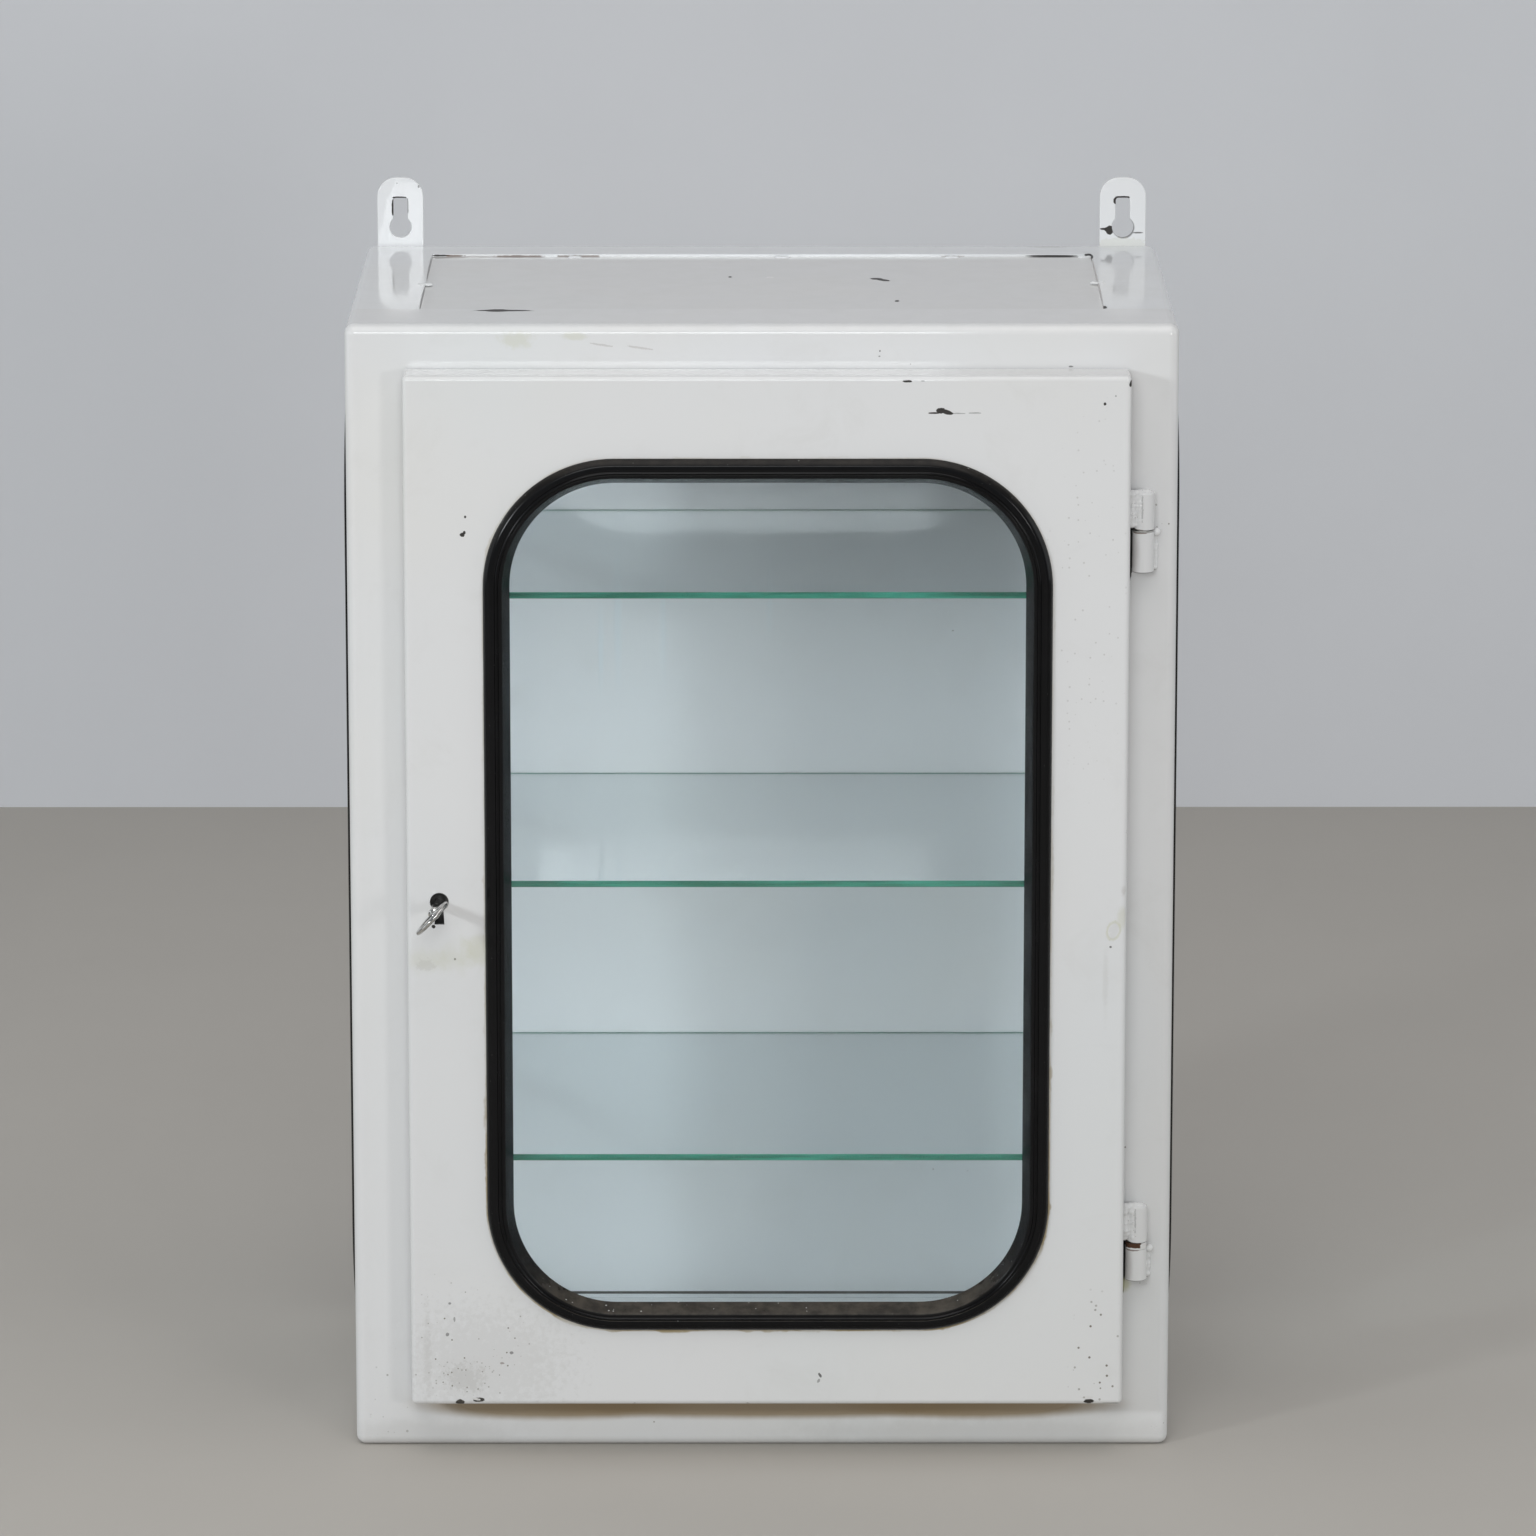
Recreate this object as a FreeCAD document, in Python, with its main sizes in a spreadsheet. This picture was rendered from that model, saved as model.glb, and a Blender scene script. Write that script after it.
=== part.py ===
"""Wall-hung medicine cabinet with a glazed steel door, glazed sides and three glass shelves.

Millimetres. +X is the right of the front, +Y runs into the cabinet, +Z is up. The origin is the
middle of the flat bottom. The welded body is made of shallow pressed trays and panels, the panes
sit in black H-section rubber, and the door swings on two lift-off hinges and locks with a key.
"""
import FreeCAD, Part
import Sketcher
import os

DOC = FreeCAD.newDocument("medicine_cabinet")

DRIVING_SIZES = {
    # Body: pressed front tray, back tray, side panels with top and bottom flanges
    "body_width": 500,
    "body_height": 700,
    "body_depth": 300,
    "body_sheet": 1.5,
    "body_edge_radius": 6,
    "front_return": 58,
    "back_return": 37,
    "side_flange": 43,
    "panel_lap": 12,
    "floor_rise": 10,
    "floor_side_gap": 5,
    "opening_corner_radius": 14,
    # Door: a shallow pan hung in front of the front tray
    "door_left_margin": 35.5,
    "door_right_margin": 29.5,
    "door_top_margin": 26.3,
    "door_bottom_margin": 34.5,
    "door_side_overlap": 17.5,
    "door_end_overlap": 20,
    "door_depth": 25,
    "door_sheet": 1.5,
    "door_edge_radius": 3,
    "door_gap": 2,
    # Window cut-outs and the rubber section that holds each pane
    "door_cut_side_margin": 52.6,
    "door_cut_end_margin": 54.8,
    "door_cut_shift": 0.6,
    "door_cut_drop": 1.1,
    "side_cut_front_margin": 11,
    "side_cut_back_margin": 9,
    "side_cut_end_margin": 52,
    "cut_corner_radius": 73,
    "seal_outer_lip": 6,
    "seal_crest_height": 4.5,
    "seal_round_rise": 3.4,
    "seal_round_reach": 1.4,
    "seal_crest_start": 1.8,
    "seal_crest_end": 4,
    "seal_web": 3.5,
    "seal_sight": 10.1,
    "seal_back_lip": 8.4,
    "seal_back_depth": 14.5,
    "seal_back_crest": 4,
    "pane_setback": 7,
    "pane_thickness": 4,
    "pane_edge_clearance": 0.3,
    "filler_start": 0.9,
    "filler_width": 2.5,
    "filler_depth": 2.3,
    "filler_crown": 0.6,
    # Shelves and the angle rails that carry them
    "shelf_thickness": 4,
    "shelf_wall_gap": 16.5,
    "shelf_end_clearance": 0.3,
    "bottom_shelf_top": 186,
    "top_shelf_drop": 170,
    "top_shelf_setback": 33.4,
    "rail_leg": 10,
    "rail_sheet": 1.2,
    "shelf_side_clearance": 0.3,
    # Hanging brackets with keyhole slots
    "bracket_width": 29.2,
    "bracket_sheet": 3,
    "bracket_inset": 21.5,
    "bracket_rise": 43,
    "bracket_tail": 62,
    "bracket_hole_radius": 6.8,
    "bracket_hole_rise": 11.4,
    "bracket_slot_width": 9,
    "bracket_slot_top": 30,
    # Lift-off hinges
    "hinge_side_gap": 8.6,
    "knuckle_radius": 6.6,
    "knuckle_stand_off": 0.3,
    "knuckle_bevel": 1,
    "upper_hinge_drop": 97.9,
    "lower_hinge_rise": 94.3,
    "upper_body_knuckle_length": 24.8,
    "lower_body_knuckle_length": 20,
    "door_knuckle_length": 23.3,
    "upper_washer_thickness": 1,
    "lower_washer_thickness": 4,
    "hinge_running_gap": 0.3,
    "pin_radius": 3,
    "pin_clearance": 0.05,
    "pin_rise": 19,
    "pin_end_cover": 2,
    "weld_width": 9.5,
    "weld_reach": 4.5,
    "door_web_thickness": 12,
    # Rim lock in the door pan, its key and the keeper on the front tray
    "key_inset": 19.6,
    "key_drop": 4.1,
    "keyhole_radius": 5.7,
    "keyhole_rise": 1.5,
    "keyhole_slot_drop": 12.6,
    "keyhole_slot_top_width": 4.6,
    "keyhole_slot_foot_width": 6,
    "lock_sheet": 1,
    "lock_left": 12.8,
    "lock_right": 24,
    "lock_top": 30,
    "lock_foot": 18,
    "lock_depth": 13,
    "drill_pin_radius": 1.5,
    "bolt_thickness": 5,
    "bolt_foot": 8.5,
    "bolt_height": 13.5,
    "bolt_length": 33,
    "bolt_tip_recess": 0.4,
    "bolt_clearance": 0.3,
    "bolt_notch_width": 15.6,
    "bolt_notch_height": 4.3,
    "bolt_notch_shift": 3,
    "bolt_face_offset": 4,
    "spring_thickness": 0.6,
    "spring_span": 16,
    "spring_shift": 5.5,
    "keeper_sheet": 1.5,
    "keeper_gap": 0.6,
    "keeper_height": 26,
    "keeper_foot": 9,
    "keeper_front_clearance": 1,
    "shank_radius": 3.1,
    "shank_bore_clearance": 0.3,
    "shank_bore_depth": 14,
    "shank_tip_clearance": 0.5,
    "bit_reach": 11.4,
    "bit_thickness": 3,
    "bit_width": 7,
    "bit_start": 2.4,
    "ward_width": 1.4,
    "ward_depth": 3,
    "bow_distance": 42,
    "bow_width": 27,
    "bow_length": 23,
    "bow_rim": 4.6,
    "bow_thickness": 3,
    "bow_turn": 43,
    "collar_radius": 4.1,
    "collar_length": 2.4,
    # How far each cut runs past the sheet that it cuts
    "cut_overrun": 5,
}

QUARTER_TURN = 90
HALF_TURN = 180

# Shares chosen by hand
INNER_BEND_SHARE = 0.586
CUT_RADIUS_LIMIT_SHARE = 0.45
BRACKET_HEAD_SHARE = 0.84
SLOT_CORNER_SHARE = 0.4



class Size:
    """A length known both as a number and as the sheet expression that gives it."""

    def __init__(self, value, text):
        self.value = float(value)
        self.text = text

    def _join(self, other, sign, value):
        other_text = other.text if isinstance(other, Size) else repr(other)
        return Size(value, "(" + self.text + " " + sign + " " + other_text + ")")

    def __add__(self, other):
        return self._join(other, "+", self.value + other.value)

    def __sub__(self, other):
        return self._join(other, "-", self.value - other.value)

    def __mul__(self, factor):
        return self._join(factor, "*", self.value * factor)

    def __truediv__(self, divisor):
        return self._join(divisor, "/", self.value / divisor)

    def __neg__(self):
        return Size(-self.value, "(-1 * " + self.text + ")")


def make_sheet():
    """Put every driving size in the spreadsheet under its own alias."""
    sheet = DOC.addObject("Spreadsheet::Sheet", "Sizes")
    for row, (name, value) in enumerate(DRIVING_SIZES.items(), start=1):
        sheet.set("A" + str(row), name)
        sheet.set("B" + str(row), str(value))
        sheet.setAlias("B" + str(row), name)
    DOC.recompute()
    return sheet


SHEET = make_sheet()
ZERO = Size(0, "0")


def size(name):
    """The driving size of that name, as the sheet holds it."""
    return Size(getattr(SHEET, name), "Sizes." + name)


def smaller(first, second):
    """The smaller of two sizes."""
    return Size(min(first.value, second.value), "min(" + first.text + "; " + second.text + ")")


def bind(item, prop, length):
    """Tie a property of a document object to the sheet."""
    item.setExpression(prop, length.text)


def place(item, across=ZERO, into=ZERO, up=ZERO):
    """Move a body or primitive to its place in the cabinet."""
    bind(item, "Placement.Base.x", across)
    bind(item, "Placement.Base.y", into)
    bind(item, "Placement.Base.z", up)


def turn(item, axis, degrees):
    """Turn a body about one of the main axes before it is moved."""
    item.Placement.Rotation = FreeCAD.Rotation(axis, degrees)


def new_body(label):
    """A body whose label is the name of the piece."""
    body = DOC.addObject("PartDesign::Body", label)
    body.Label = label
    return body


def new_sketch(body, name, role, offset=ZERO):
    """A sketch on one of the body's own origin planes, moved along the plane's normal."""
    sketch = body.newObject("Sketcher::SketchObject", body.Label + "_" + name)
    planes = [plane for plane in body.Origin.OriginFeatures if plane.Role == role]
    sketch.AttachmentSupport = [(planes[0], "")]
    sketch.MapMode = "FlatFace"
    bind(sketch, "AttachmentOffset.Base.z", offset)
    return sketch


def at(across, up):
    """A sketch point as a vector."""
    return FreeCAD.Vector(across.value, up.value, 0)


def hold(sketch, kind, references, length):
    """Add a dimension to a sketch and tie it to the sheet."""
    index = sketch.addConstraint(Sketcher.Constraint(kind, *references, length.value))
    bind(sketch, "Constraints[" + str(index) + "]", length)


def hold_point(sketch, element, end, across, up):
    """Hold one point of a sketch by its two distances from the sketch's origin."""
    hold(sketch, "DistanceX", (-1, 1, element, end), across)
    hold(sketch, "DistanceY", (-1, 1, element, end), up)


def outline(sketch, points):
    """A closed outline of straight lines through the points."""
    first = sketch.GeometryCount
    following = points[1:] + points[:1]
    for start, finish in zip(points, following):
        sketch.addGeometry(Part.LineSegment(at(*start), at(*finish)), False)
    count = len(points)
    joins = []
    for index in range(count):
        joins.append(Sketcher.Constraint("Coincident", first + index, 2, first + (index + 1) % count, 1))
    sketch.addConstraint(joins)
    for index, point in enumerate(points):
        hold_point(sketch, first + index, 1, *point)


def rectangle(half_width, half_height):
    """Corners of a rectangle round the sketch's origin."""
    return [
        (-half_width, -half_height), (half_width, -half_height),
        (half_width, half_height), (-half_width, half_height),
    ]


def circle(sketch, across, up, radius):
    """A full circle."""
    element = sketch.GeometryCount
    sketch.addGeometry(Part.Circle(at(across, up), FreeCAD.Vector(0, 0, 1), radius.value), False)
    hold_point(sketch, element, 3, across, up)
    hold(sketch, "Radius", (element,), radius)


def rounded_rectangle(sketch, width, height, radius, across=ZERO, up=ZERO):
    """A rectangle with round corners that starts and ends in the middle of its foot."""
    first = sketch.GeometryCount
    half_width = width / 2
    half_height = height / 2
    left = across - half_width
    right = across + half_width
    foot = up - half_height
    head = up + half_height
    corners = (
        (right - radius, foot + radius, -0.25),
        (right - radius, head - radius, 0),
        (left + radius, head - radius, 0.25),
        (left + radius, foot + radius, 0.5),
    )
    turn_angle = 2 * 3.141592653589793
    normal = FreeCAD.Vector(0, 0, 1)
    starts = (
        ((across, foot), (right - radius, foot)),
        ((right, foot + radius), (right, head - radius)),
        ((right - radius, head), (left + radius, head)),
        ((left, head - radius), (left, foot + radius)),
    )
    for line, (middle_across, middle_up, share) in zip(starts, corners):
        sketch.addGeometry(Part.LineSegment(at(*line[0]), at(*line[1])), False)
        ring = Part.Circle(at(middle_across, middle_up), normal, radius.value)
        sketch.addGeometry(Part.ArcOfCircle(ring, share * turn_angle, (share + 0.25) * turn_angle), False)
    sketch.addGeometry(Part.LineSegment(at(left + radius, foot), at(across, foot)), False)
    last = first + 8
    joins = [Sketcher.Constraint("Tangent", first + index, 2, first + index + 1, 1) for index in range(8)]
    joins.append(Sketcher.Constraint("Coincident", last, 2, first, 1))
    sketch.addConstraint(joins)
    for index, (middle_across, middle_up, share) in enumerate(corners):
        arc = first + 1 + 2 * index
        hold_point(sketch, arc, 3, middle_across, middle_up)
        hold(sketch, "Radius", (arc,), radius)
    hold(sketch, "DistanceX", (-1, 1, first, 1), across)


def pad(body, sketch, name, length, back=False, middle=False):
    """Raise a sketch into a solid."""
    feature = body.newObject("PartDesign::Pad", body.Label + "_" + name)
    feature.Profile = sketch
    bind(feature, "Length", length)
    feature.Reversed = back
    if middle:
        feature.SideType = "Symmetric"
    DOC.recompute()
    return feature


def pocket(body, sketch, name, length, back=False, middle=False):
    """Cut a sketch out of the body and make sure that it took something away."""
    before = body.Tip.Shape.Volume
    feature = body.newObject("PartDesign::Pocket", body.Label + "_" + name)
    feature.Profile = sketch
    bind(feature, "Length", length)
    feature.Reversed = back
    if middle:
        feature.SideType = "Symmetric"
    DOC.recompute()
    if feature.Shape.isNull() or feature.Shape.Volume >= before:
        raise RuntimeError(feature.Name + " cuts nothing")
    return feature


def edge_names(shape, test):
    """Names of the edges for which the test is true of their bounding box."""
    return ["Edge" + str(index) for index, edge in enumerate(shape.Edges, start=1) if test(edge.BoundBox)]


def dress(body, kind, name, test, amount):
    """Round or bevel the edges of the body's last feature that pass the test."""
    base = body.Tip
    feature = body.newObject("PartDesign::" + kind, body.Label + "_" + name)
    feature.Base = (base, edge_names(base.Shape, test))
    bind(feature, "Radius" if kind == "Fillet" else "Size", amount)
    DOC.recompute()
    if feature.Shape.isNull():
        raise RuntimeError(feature.Name + " fails: " + str(feature.getStatusString()))
    return feature


def is_level(low, high, level):
    """True where a span lies at one level."""
    slack = level.value * 1e-9 if level.value else 0
    return abs(low - level.value) <= abs(slack) + 1e-6 and abs(high - level.value) <= abs(slack) + 1e-6


def is_deep(low, high, sheet, depth):
    """True where a span starts at the inside of the face and isn't the open rim."""
    return low > sheet.value / 2 and not is_level(low, high, depth)


def door_width():
    """Width of the door between its margins on the front tray."""
    return size("body_width") - size("door_left_margin") - size("door_right_margin")


def door_height():
    """Height of the door between its margins on the front tray."""
    return size("body_height") - size("door_top_margin") - size("door_bottom_margin")


def door_shift():
    """How far the middle of the door lies to the right of the middle of the body."""
    return (size("door_left_margin") - size("door_right_margin")) / 2


def door_front():
    """Level of the door's front face along the depth."""
    return -size("body_depth") / 2 - size("door_gap") - size("door_depth")


def door_middle():
    """Height of the middle of the door."""
    return size("door_bottom_margin") + door_height() / 2


def door_cut_size():
    """Width and height of the cut-out for the door's window."""
    width = door_width() - size("door_cut_side_margin") * 2
    return width, door_height() - size("door_cut_end_margin") * 2


def side_length():
    """Length of the side panels between the two trays."""
    return size("body_depth") - size("front_return") - size("back_return")


def side_middle():
    """Where the middle of the side panels lies along the depth."""
    return (size("front_return") - size("back_return")) / 2


def side_cut_size():
    """Width and height of the cut-out in a side panel."""
    width = side_length() - size("side_cut_front_margin") - size("side_cut_back_margin")
    return width, size("body_height") - size("side_cut_end_margin") * 2


def side_cut_offset():
    """How far a side window lies behind the middle of its panel."""
    return (size("side_cut_front_margin") - size("side_cut_back_margin")) / 2


def cut_radius(width):
    """Corner radius of a window's cut-out, never more than its width allows."""
    return smaller(size("cut_corner_radius"), width * CUT_RADIUS_LIMIT_SHARE)


def shelf_half_width():
    """Half the width of a shelf, clear of the rubber in the side walls."""
    return size("body_width") / 2 - size("body_sheet") - size("shelf_wall_gap")


def key_across():
    """Where the key's axis lies across the cabinet."""
    return size("door_left_margin") + size("key_inset") - size("body_width") / 2


def key_height():
    """Height of the key's axis."""
    return door_middle() - size("key_drop")


def through(sheet):
    """Length of a cut that runs past a sheet on both sides."""
    return (sheet + size("cut_overrun")) * 2


def make_tray(label, width, height, depth, sheet, edge_radius):
    """A pressed tray: closed face on its own XZ plane, open towards +Y, round outer edges."""
    body = new_body(label)
    face = new_sketch(body, "face", "XZ_Plane")
    half_width = width / 2
    half_height = height / 2
    outline(face, rectangle(half_width, half_height))
    pad(body, face, "block", depth, back=True)
    hollow = new_sketch(body, "hollow", "XZ_Plane", -sheet)
    outline(hollow, rectangle(half_width - sheet, half_height - sheet))
    pocket(body, hollow, "hollow_cut", depth)
    dress(body, "Chamfer", "inner_bends", lambda box: is_deep(box.YMin, box.YMax, sheet, depth),
          (edge_radius - sheet) * INNER_BEND_SHARE)
    dress(body, "Fillet", "outer_bends", lambda box: box.YMin < sheet.value / 2, edge_radius)
    return body


def make_front_frame():
    """Front tray with the door opening cut in its face."""
    body = make_tray(
        "front_frame", size("body_width"), size("body_height"), size("front_return"),
        size("body_sheet"), size("body_edge_radius"),
    )
    opening = new_sketch(body, "opening", "XZ_Plane")
    width = door_width() - size("door_side_overlap") * 2
    height = door_height() - size("door_end_overlap") * 2
    middle = door_middle() - size("body_height") / 2
    rounded_rectangle(opening, width, height, size("opening_corner_radius"), door_shift(), middle)
    pocket(body, opening, "opening_cut", through(size("body_sheet")), middle=True)
    place(body, into=-size("body_depth") / 2, up=size("body_height") / 2)


def make_back_panel():
    """Back tray, the same pressing turned to face the front."""
    body = make_tray(
        "back_panel", size("body_width"), size("body_height"), size("back_return"),
        size("body_sheet"), size("body_edge_radius"),
    )
    turn(body, FreeCAD.Vector(0, 0, 1), HALF_TURN)
    place(body, into=size("body_depth") / 2, up=size("body_height") / 2)


def make_side_panel(label, side):
    """Side wall with a flange at its top and bottom and a window cut in the wall."""
    body = new_body(label)
    sheet = size("body_sheet")
    half_height = size("body_height") / 2
    flange = size("side_flange")
    section = new_sketch(body, "section", "XZ_Plane", -side_length() / 2)
    outline(section, [
        (ZERO, -half_height), (flange, -half_height), (flange, half_height), (ZERO, half_height),
    ])
    pad(body, section, "block", side_length())
    hollow = new_sketch(body, "hollow", "XZ_Plane", -side_length() / 2)
    outline(hollow, [
        (sheet, sheet - half_height), (flange * 2, sheet - half_height),
        (flange * 2, half_height - sheet), (sheet, half_height - sheet),
    ])
    pocket(body, hollow, "hollow_cut", side_length(), back=True)
    radius = size("body_edge_radius")
    dress(body, "Chamfer", "inner_bends", lambda box: is_level(box.XMin, box.XMax, sheet)
          and box.ZMax - box.ZMin < sheet.value, (radius - sheet) * INNER_BEND_SHARE)
    dress(body, "Fillet", "outer_bends", lambda box: is_level(box.XMin, box.XMax, ZERO)
          and box.ZMax - box.ZMin < sheet.value, radius)
    window = new_sketch(body, "window", "YZ_Plane")
    width, height = side_cut_size()
    rounded_rectangle(window, width, height, cut_radius(width), side_cut_offset() * -side)
    pocket(body, window, "window_cut", through(sheet), middle=True)
    if side > 0:
        turn(body, FreeCAD.Vector(0, 0, 1), HALF_TURN)
    place(body, size("body_width") / 2 * side, side_middle(), half_height)


def make_top_panel():
    """Flat top sheet lapped under the flanges that surround it."""
    plate = DOC.addObject("Part::Box", "top_panel")
    sheet = size("body_sheet")
    lap = size("panel_lap")
    width = size("body_width") - size("side_flange") * 2 + lap * 2
    bind(plate, "Length", width)
    bind(plate, "Width", side_length() + lap * 2)
    bind(plate, "Height", sheet)
    place(plate, -width / 2, side_middle() - side_length() / 2 - lap, size("body_height") - sheet * 2)


def make_bottom_panel():
    """Raised floor: its front and back edges are turned down and stand on the bottom flanges."""
    body = new_body("bottom_panel")
    sheet = size("body_sheet")
    gap = size("floor_side_gap")
    half_width = size("body_width") / 2 - sheet - gap
    half_depth = size("body_depth") / 2 - sheet - gap
    rise = size("floor_rise") - sheet
    section = new_sketch(body, "section", "YZ_Plane")
    outline(section, [(-half_depth, ZERO), (half_depth, ZERO), (half_depth, rise), (-half_depth, rise)])
    pad(body, section, "block", half_width * 2, middle=True)
    hollow = new_sketch(body, "hollow", "YZ_Plane")
    inner_depth = half_depth - sheet
    outline(hollow, [
        (-inner_depth, -rise), (inner_depth, -rise), (inner_depth, rise - sheet),
        (-inner_depth, rise - sheet),
    ])
    pocket(body, hollow, "hollow_cut", half_width * 2, middle=True)
    dress(body, "Chamfer", "inner_bends", lambda box: is_level(box.ZMin, box.ZMax, rise - sheet)
          and box.YMax - box.YMin < sheet.value, (gap - sheet) * INNER_BEND_SHARE)
    dress(body, "Fillet", "outer_bends", lambda box: is_level(box.ZMin, box.ZMax, rise)
          and box.YMax - box.YMin < sheet.value, gap)
    place(body, up=sheet)


def make_hanging_bracket(label, side):
    """Flat strap with a round head and a keyhole slot, welded to the back."""
    body = new_body(label)
    half_width = size("bracket_width") / 2
    rise = size("bracket_rise")
    plan = new_sketch(body, "plan", "XZ_Plane")
    outline(plan, [
        (-half_width, -size("bracket_tail")), (half_width, -size("bracket_tail")),
        (half_width, rise), (-half_width, rise),
    ])
    pad(body, plan, "strap", size("bracket_sheet"), back=True)
    dress(body, "Fillet", "head", lambda box: is_level(box.ZMin, box.ZMax, rise)
          and is_level(box.XMax - box.XMin, box.XMax - box.XMin, ZERO), half_width * BRACKET_HEAD_SHARE)
    hole = new_sketch(body, "hole", "XZ_Plane")
    circle(hole, ZERO, size("bracket_hole_rise"), size("bracket_hole_radius"))
    pocket(body, hole, "hole_cut", through(size("bracket_sheet")), middle=True)
    slot = new_sketch(body, "slot", "XZ_Plane")
    half_slot = size("bracket_slot_width") / 2
    outline(slot, [
        (-half_slot, size("bracket_hole_rise")), (half_slot, size("bracket_hole_rise")),
        (half_slot, size("bracket_slot_top")), (-half_slot, size("bracket_slot_top")),
    ])
    pocket(body, slot, "slot_cut", through(size("bracket_sheet")), middle=True)
    slot_top = size("bracket_slot_top")
    dress(body, "Fillet", "slot_corners", lambda box: is_level(box.ZMin, box.ZMax, slot_top)
          and is_level(box.XMax - box.XMin, box.XMax - box.XMin, ZERO), half_slot * SLOT_CORNER_SHARE)
    across = size("body_width") / 2 - size("bracket_inset")
    place(body, across * side, size("body_depth") / 2, size("body_height"))


def make_door_pan():
    """Door skin with its edges turned back, a window and a keyhole."""
    body = make_tray(
        "door_pan", door_width(), door_height(), size("door_depth"),
        size("door_sheet"), size("door_edge_radius"),
    )
    window = new_sketch(body, "window", "XZ_Plane")
    width, height = door_cut_size()
    rounded_rectangle(window, width, height, cut_radius(width), size("door_cut_shift"), -size("door_cut_drop"))
    pocket(body, window, "window_cut", through(size("door_sheet")), middle=True)
    across = key_across() - door_shift()
    cut_keyhole(body, across, -size("key_drop"), through(size("door_sheet")))
    place(body, door_shift(), door_front(), door_middle())


def cut_keyhole(body, across, up, depth):
    """Round hole with a flared slot below it."""
    hole = new_sketch(body, "keyhole", "XZ_Plane")
    circle(hole, across, up + size("keyhole_rise"), size("keyhole_radius"))
    pocket(body, hole, "keyhole_cut", depth, middle=True)
    slot = new_sketch(body, "keyhole_slot", "XZ_Plane")
    half_top = size("keyhole_slot_top_width") / 2
    half_foot = size("keyhole_slot_foot_width") / 2
    foot = up - size("keyhole_slot_drop")
    outline(slot, [
        (across - half_foot, foot), (across + half_foot, foot),
        (across + half_top, up), (across - half_top, up),
    ])
    pocket(body, slot, "keyhole_slot_cut", depth, middle=True)


def seal_section(foot):
    """H section of the rubber above the foot of a cut-out, with a plain crest."""
    crest = -size("seal_crest_height")
    lip = foot - size("seal_outer_lip")
    pane_back = size("pane_setback") + size("pane_thickness")
    return [
        (ZERO, foot),
        (ZERO, lip),
        (-size("seal_round_rise"), lip + size("seal_round_reach")),
        (crest, foot - size("seal_crest_start")),
        (crest, foot + size("seal_crest_end")),
        (size("pane_setback"), foot + size("seal_sight")),
        (size("pane_setback"), foot + size("seal_web")),
        (pane_back, foot + size("seal_web")),
        (pane_back, foot + size("seal_back_lip")),
        (size("seal_back_depth"), foot + size("seal_back_crest")),
        (size("door_sheet"), lip),
        (size("door_sheet"), foot),
    ]


def filler_groove(foot):
    """V groove in the crest, from its outer edge to its inner edge."""
    crest = -size("seal_crest_height")
    start = foot + size("filler_start")
    finish = start + size("filler_width")
    return [(crest, start), (crest + size("filler_depth"), (start + finish) / 2), (crest, finish)]


def grooved_seal_section(foot):
    """The same section with the groove for a locking strip in its crest."""
    points = seal_section(foot)
    return points[:4] + filler_groove(foot) + points[4:]


def filler_section(foot):
    """Locking strip that fills the groove and stands a little proud of it."""
    groove = filler_groove(foot)
    crown = (-size("seal_crest_height") - size("filler_crown"), groove[1][1])
    return [groove[1], groove[0], crown, groove[2]]


def make_ring(label, width, height, section):
    """A section swept round a window cut-out, in the ring's own XZ plane."""
    body = new_body(label)
    route = new_sketch(body, "route", "XZ_Plane")
    rounded_rectangle(route, width, height, cut_radius(width))
    profile = new_sketch(body, "profile", "YZ_Plane")
    outline(profile, section(-height / 2))
    DOC.recompute()
    sweep = body.newObject("PartDesign::AdditivePipe", label + "_sweep")
    sweep.Profile = profile
    sweep.Spine = (route, [])
    DOC.recompute()
    return body


def make_pane(label, width, height):
    """A pane of glass that reaches into the grooves of its rubber."""
    body = new_body(label)
    inset = size("seal_web") + size("pane_edge_clearance")
    plan = new_sketch(body, "plan", "XZ_Plane", -size("pane_setback"))
    rounded_rectangle(plan, width - inset * 2, height - inset * 2, cut_radius(width) - inset)
    pad(body, plan, "sheet", size("pane_thickness"), back=True)
    return body


def place_pieces(pieces, facing, across, into, up):
    """Turn the pieces of one window to their wall and move them there."""
    for piece in pieces:
        turn(piece, FreeCAD.Vector(0, 0, 1), facing)
        place(piece, across, into, up)


def make_door_window():
    """Rubber, locking strip and pane of the door."""
    width, height = door_cut_size()
    pieces = (
        make_ring("door_seal", width, height, grooved_seal_section),
        make_ring("door_seal_filler", width, height, filler_section),
        make_pane("door_glass", width, height),
    )
    across = door_shift() + size("door_cut_shift")
    place_pieces(pieces, 0, across, door_front(), door_middle() - size("door_cut_drop"))


def make_side_windows():
    """Rubber and pane of each side wall."""
    width, height = side_cut_size()
    into = side_middle() + side_cut_offset()
    for prefix, side in (("left_side", -1), ("right_side", 1)):
        pieces = (
            make_ring(prefix + "_seal", width, height, seal_section),
            make_pane(prefix + "_glass", width, height),
        )
        across = size("body_width") / 2 * side
        place_pieces(pieces, QUARTER_TURN * side, across, into, size("body_height") / 2)


def shelf_top(index):
    """Height of the top of a shelf, counted from the lowest."""
    rise = size("body_height") - size("bottom_shelf_top") - size("top_shelf_drop")
    return size("bottom_shelf_top") + rise / 2 * index


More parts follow.
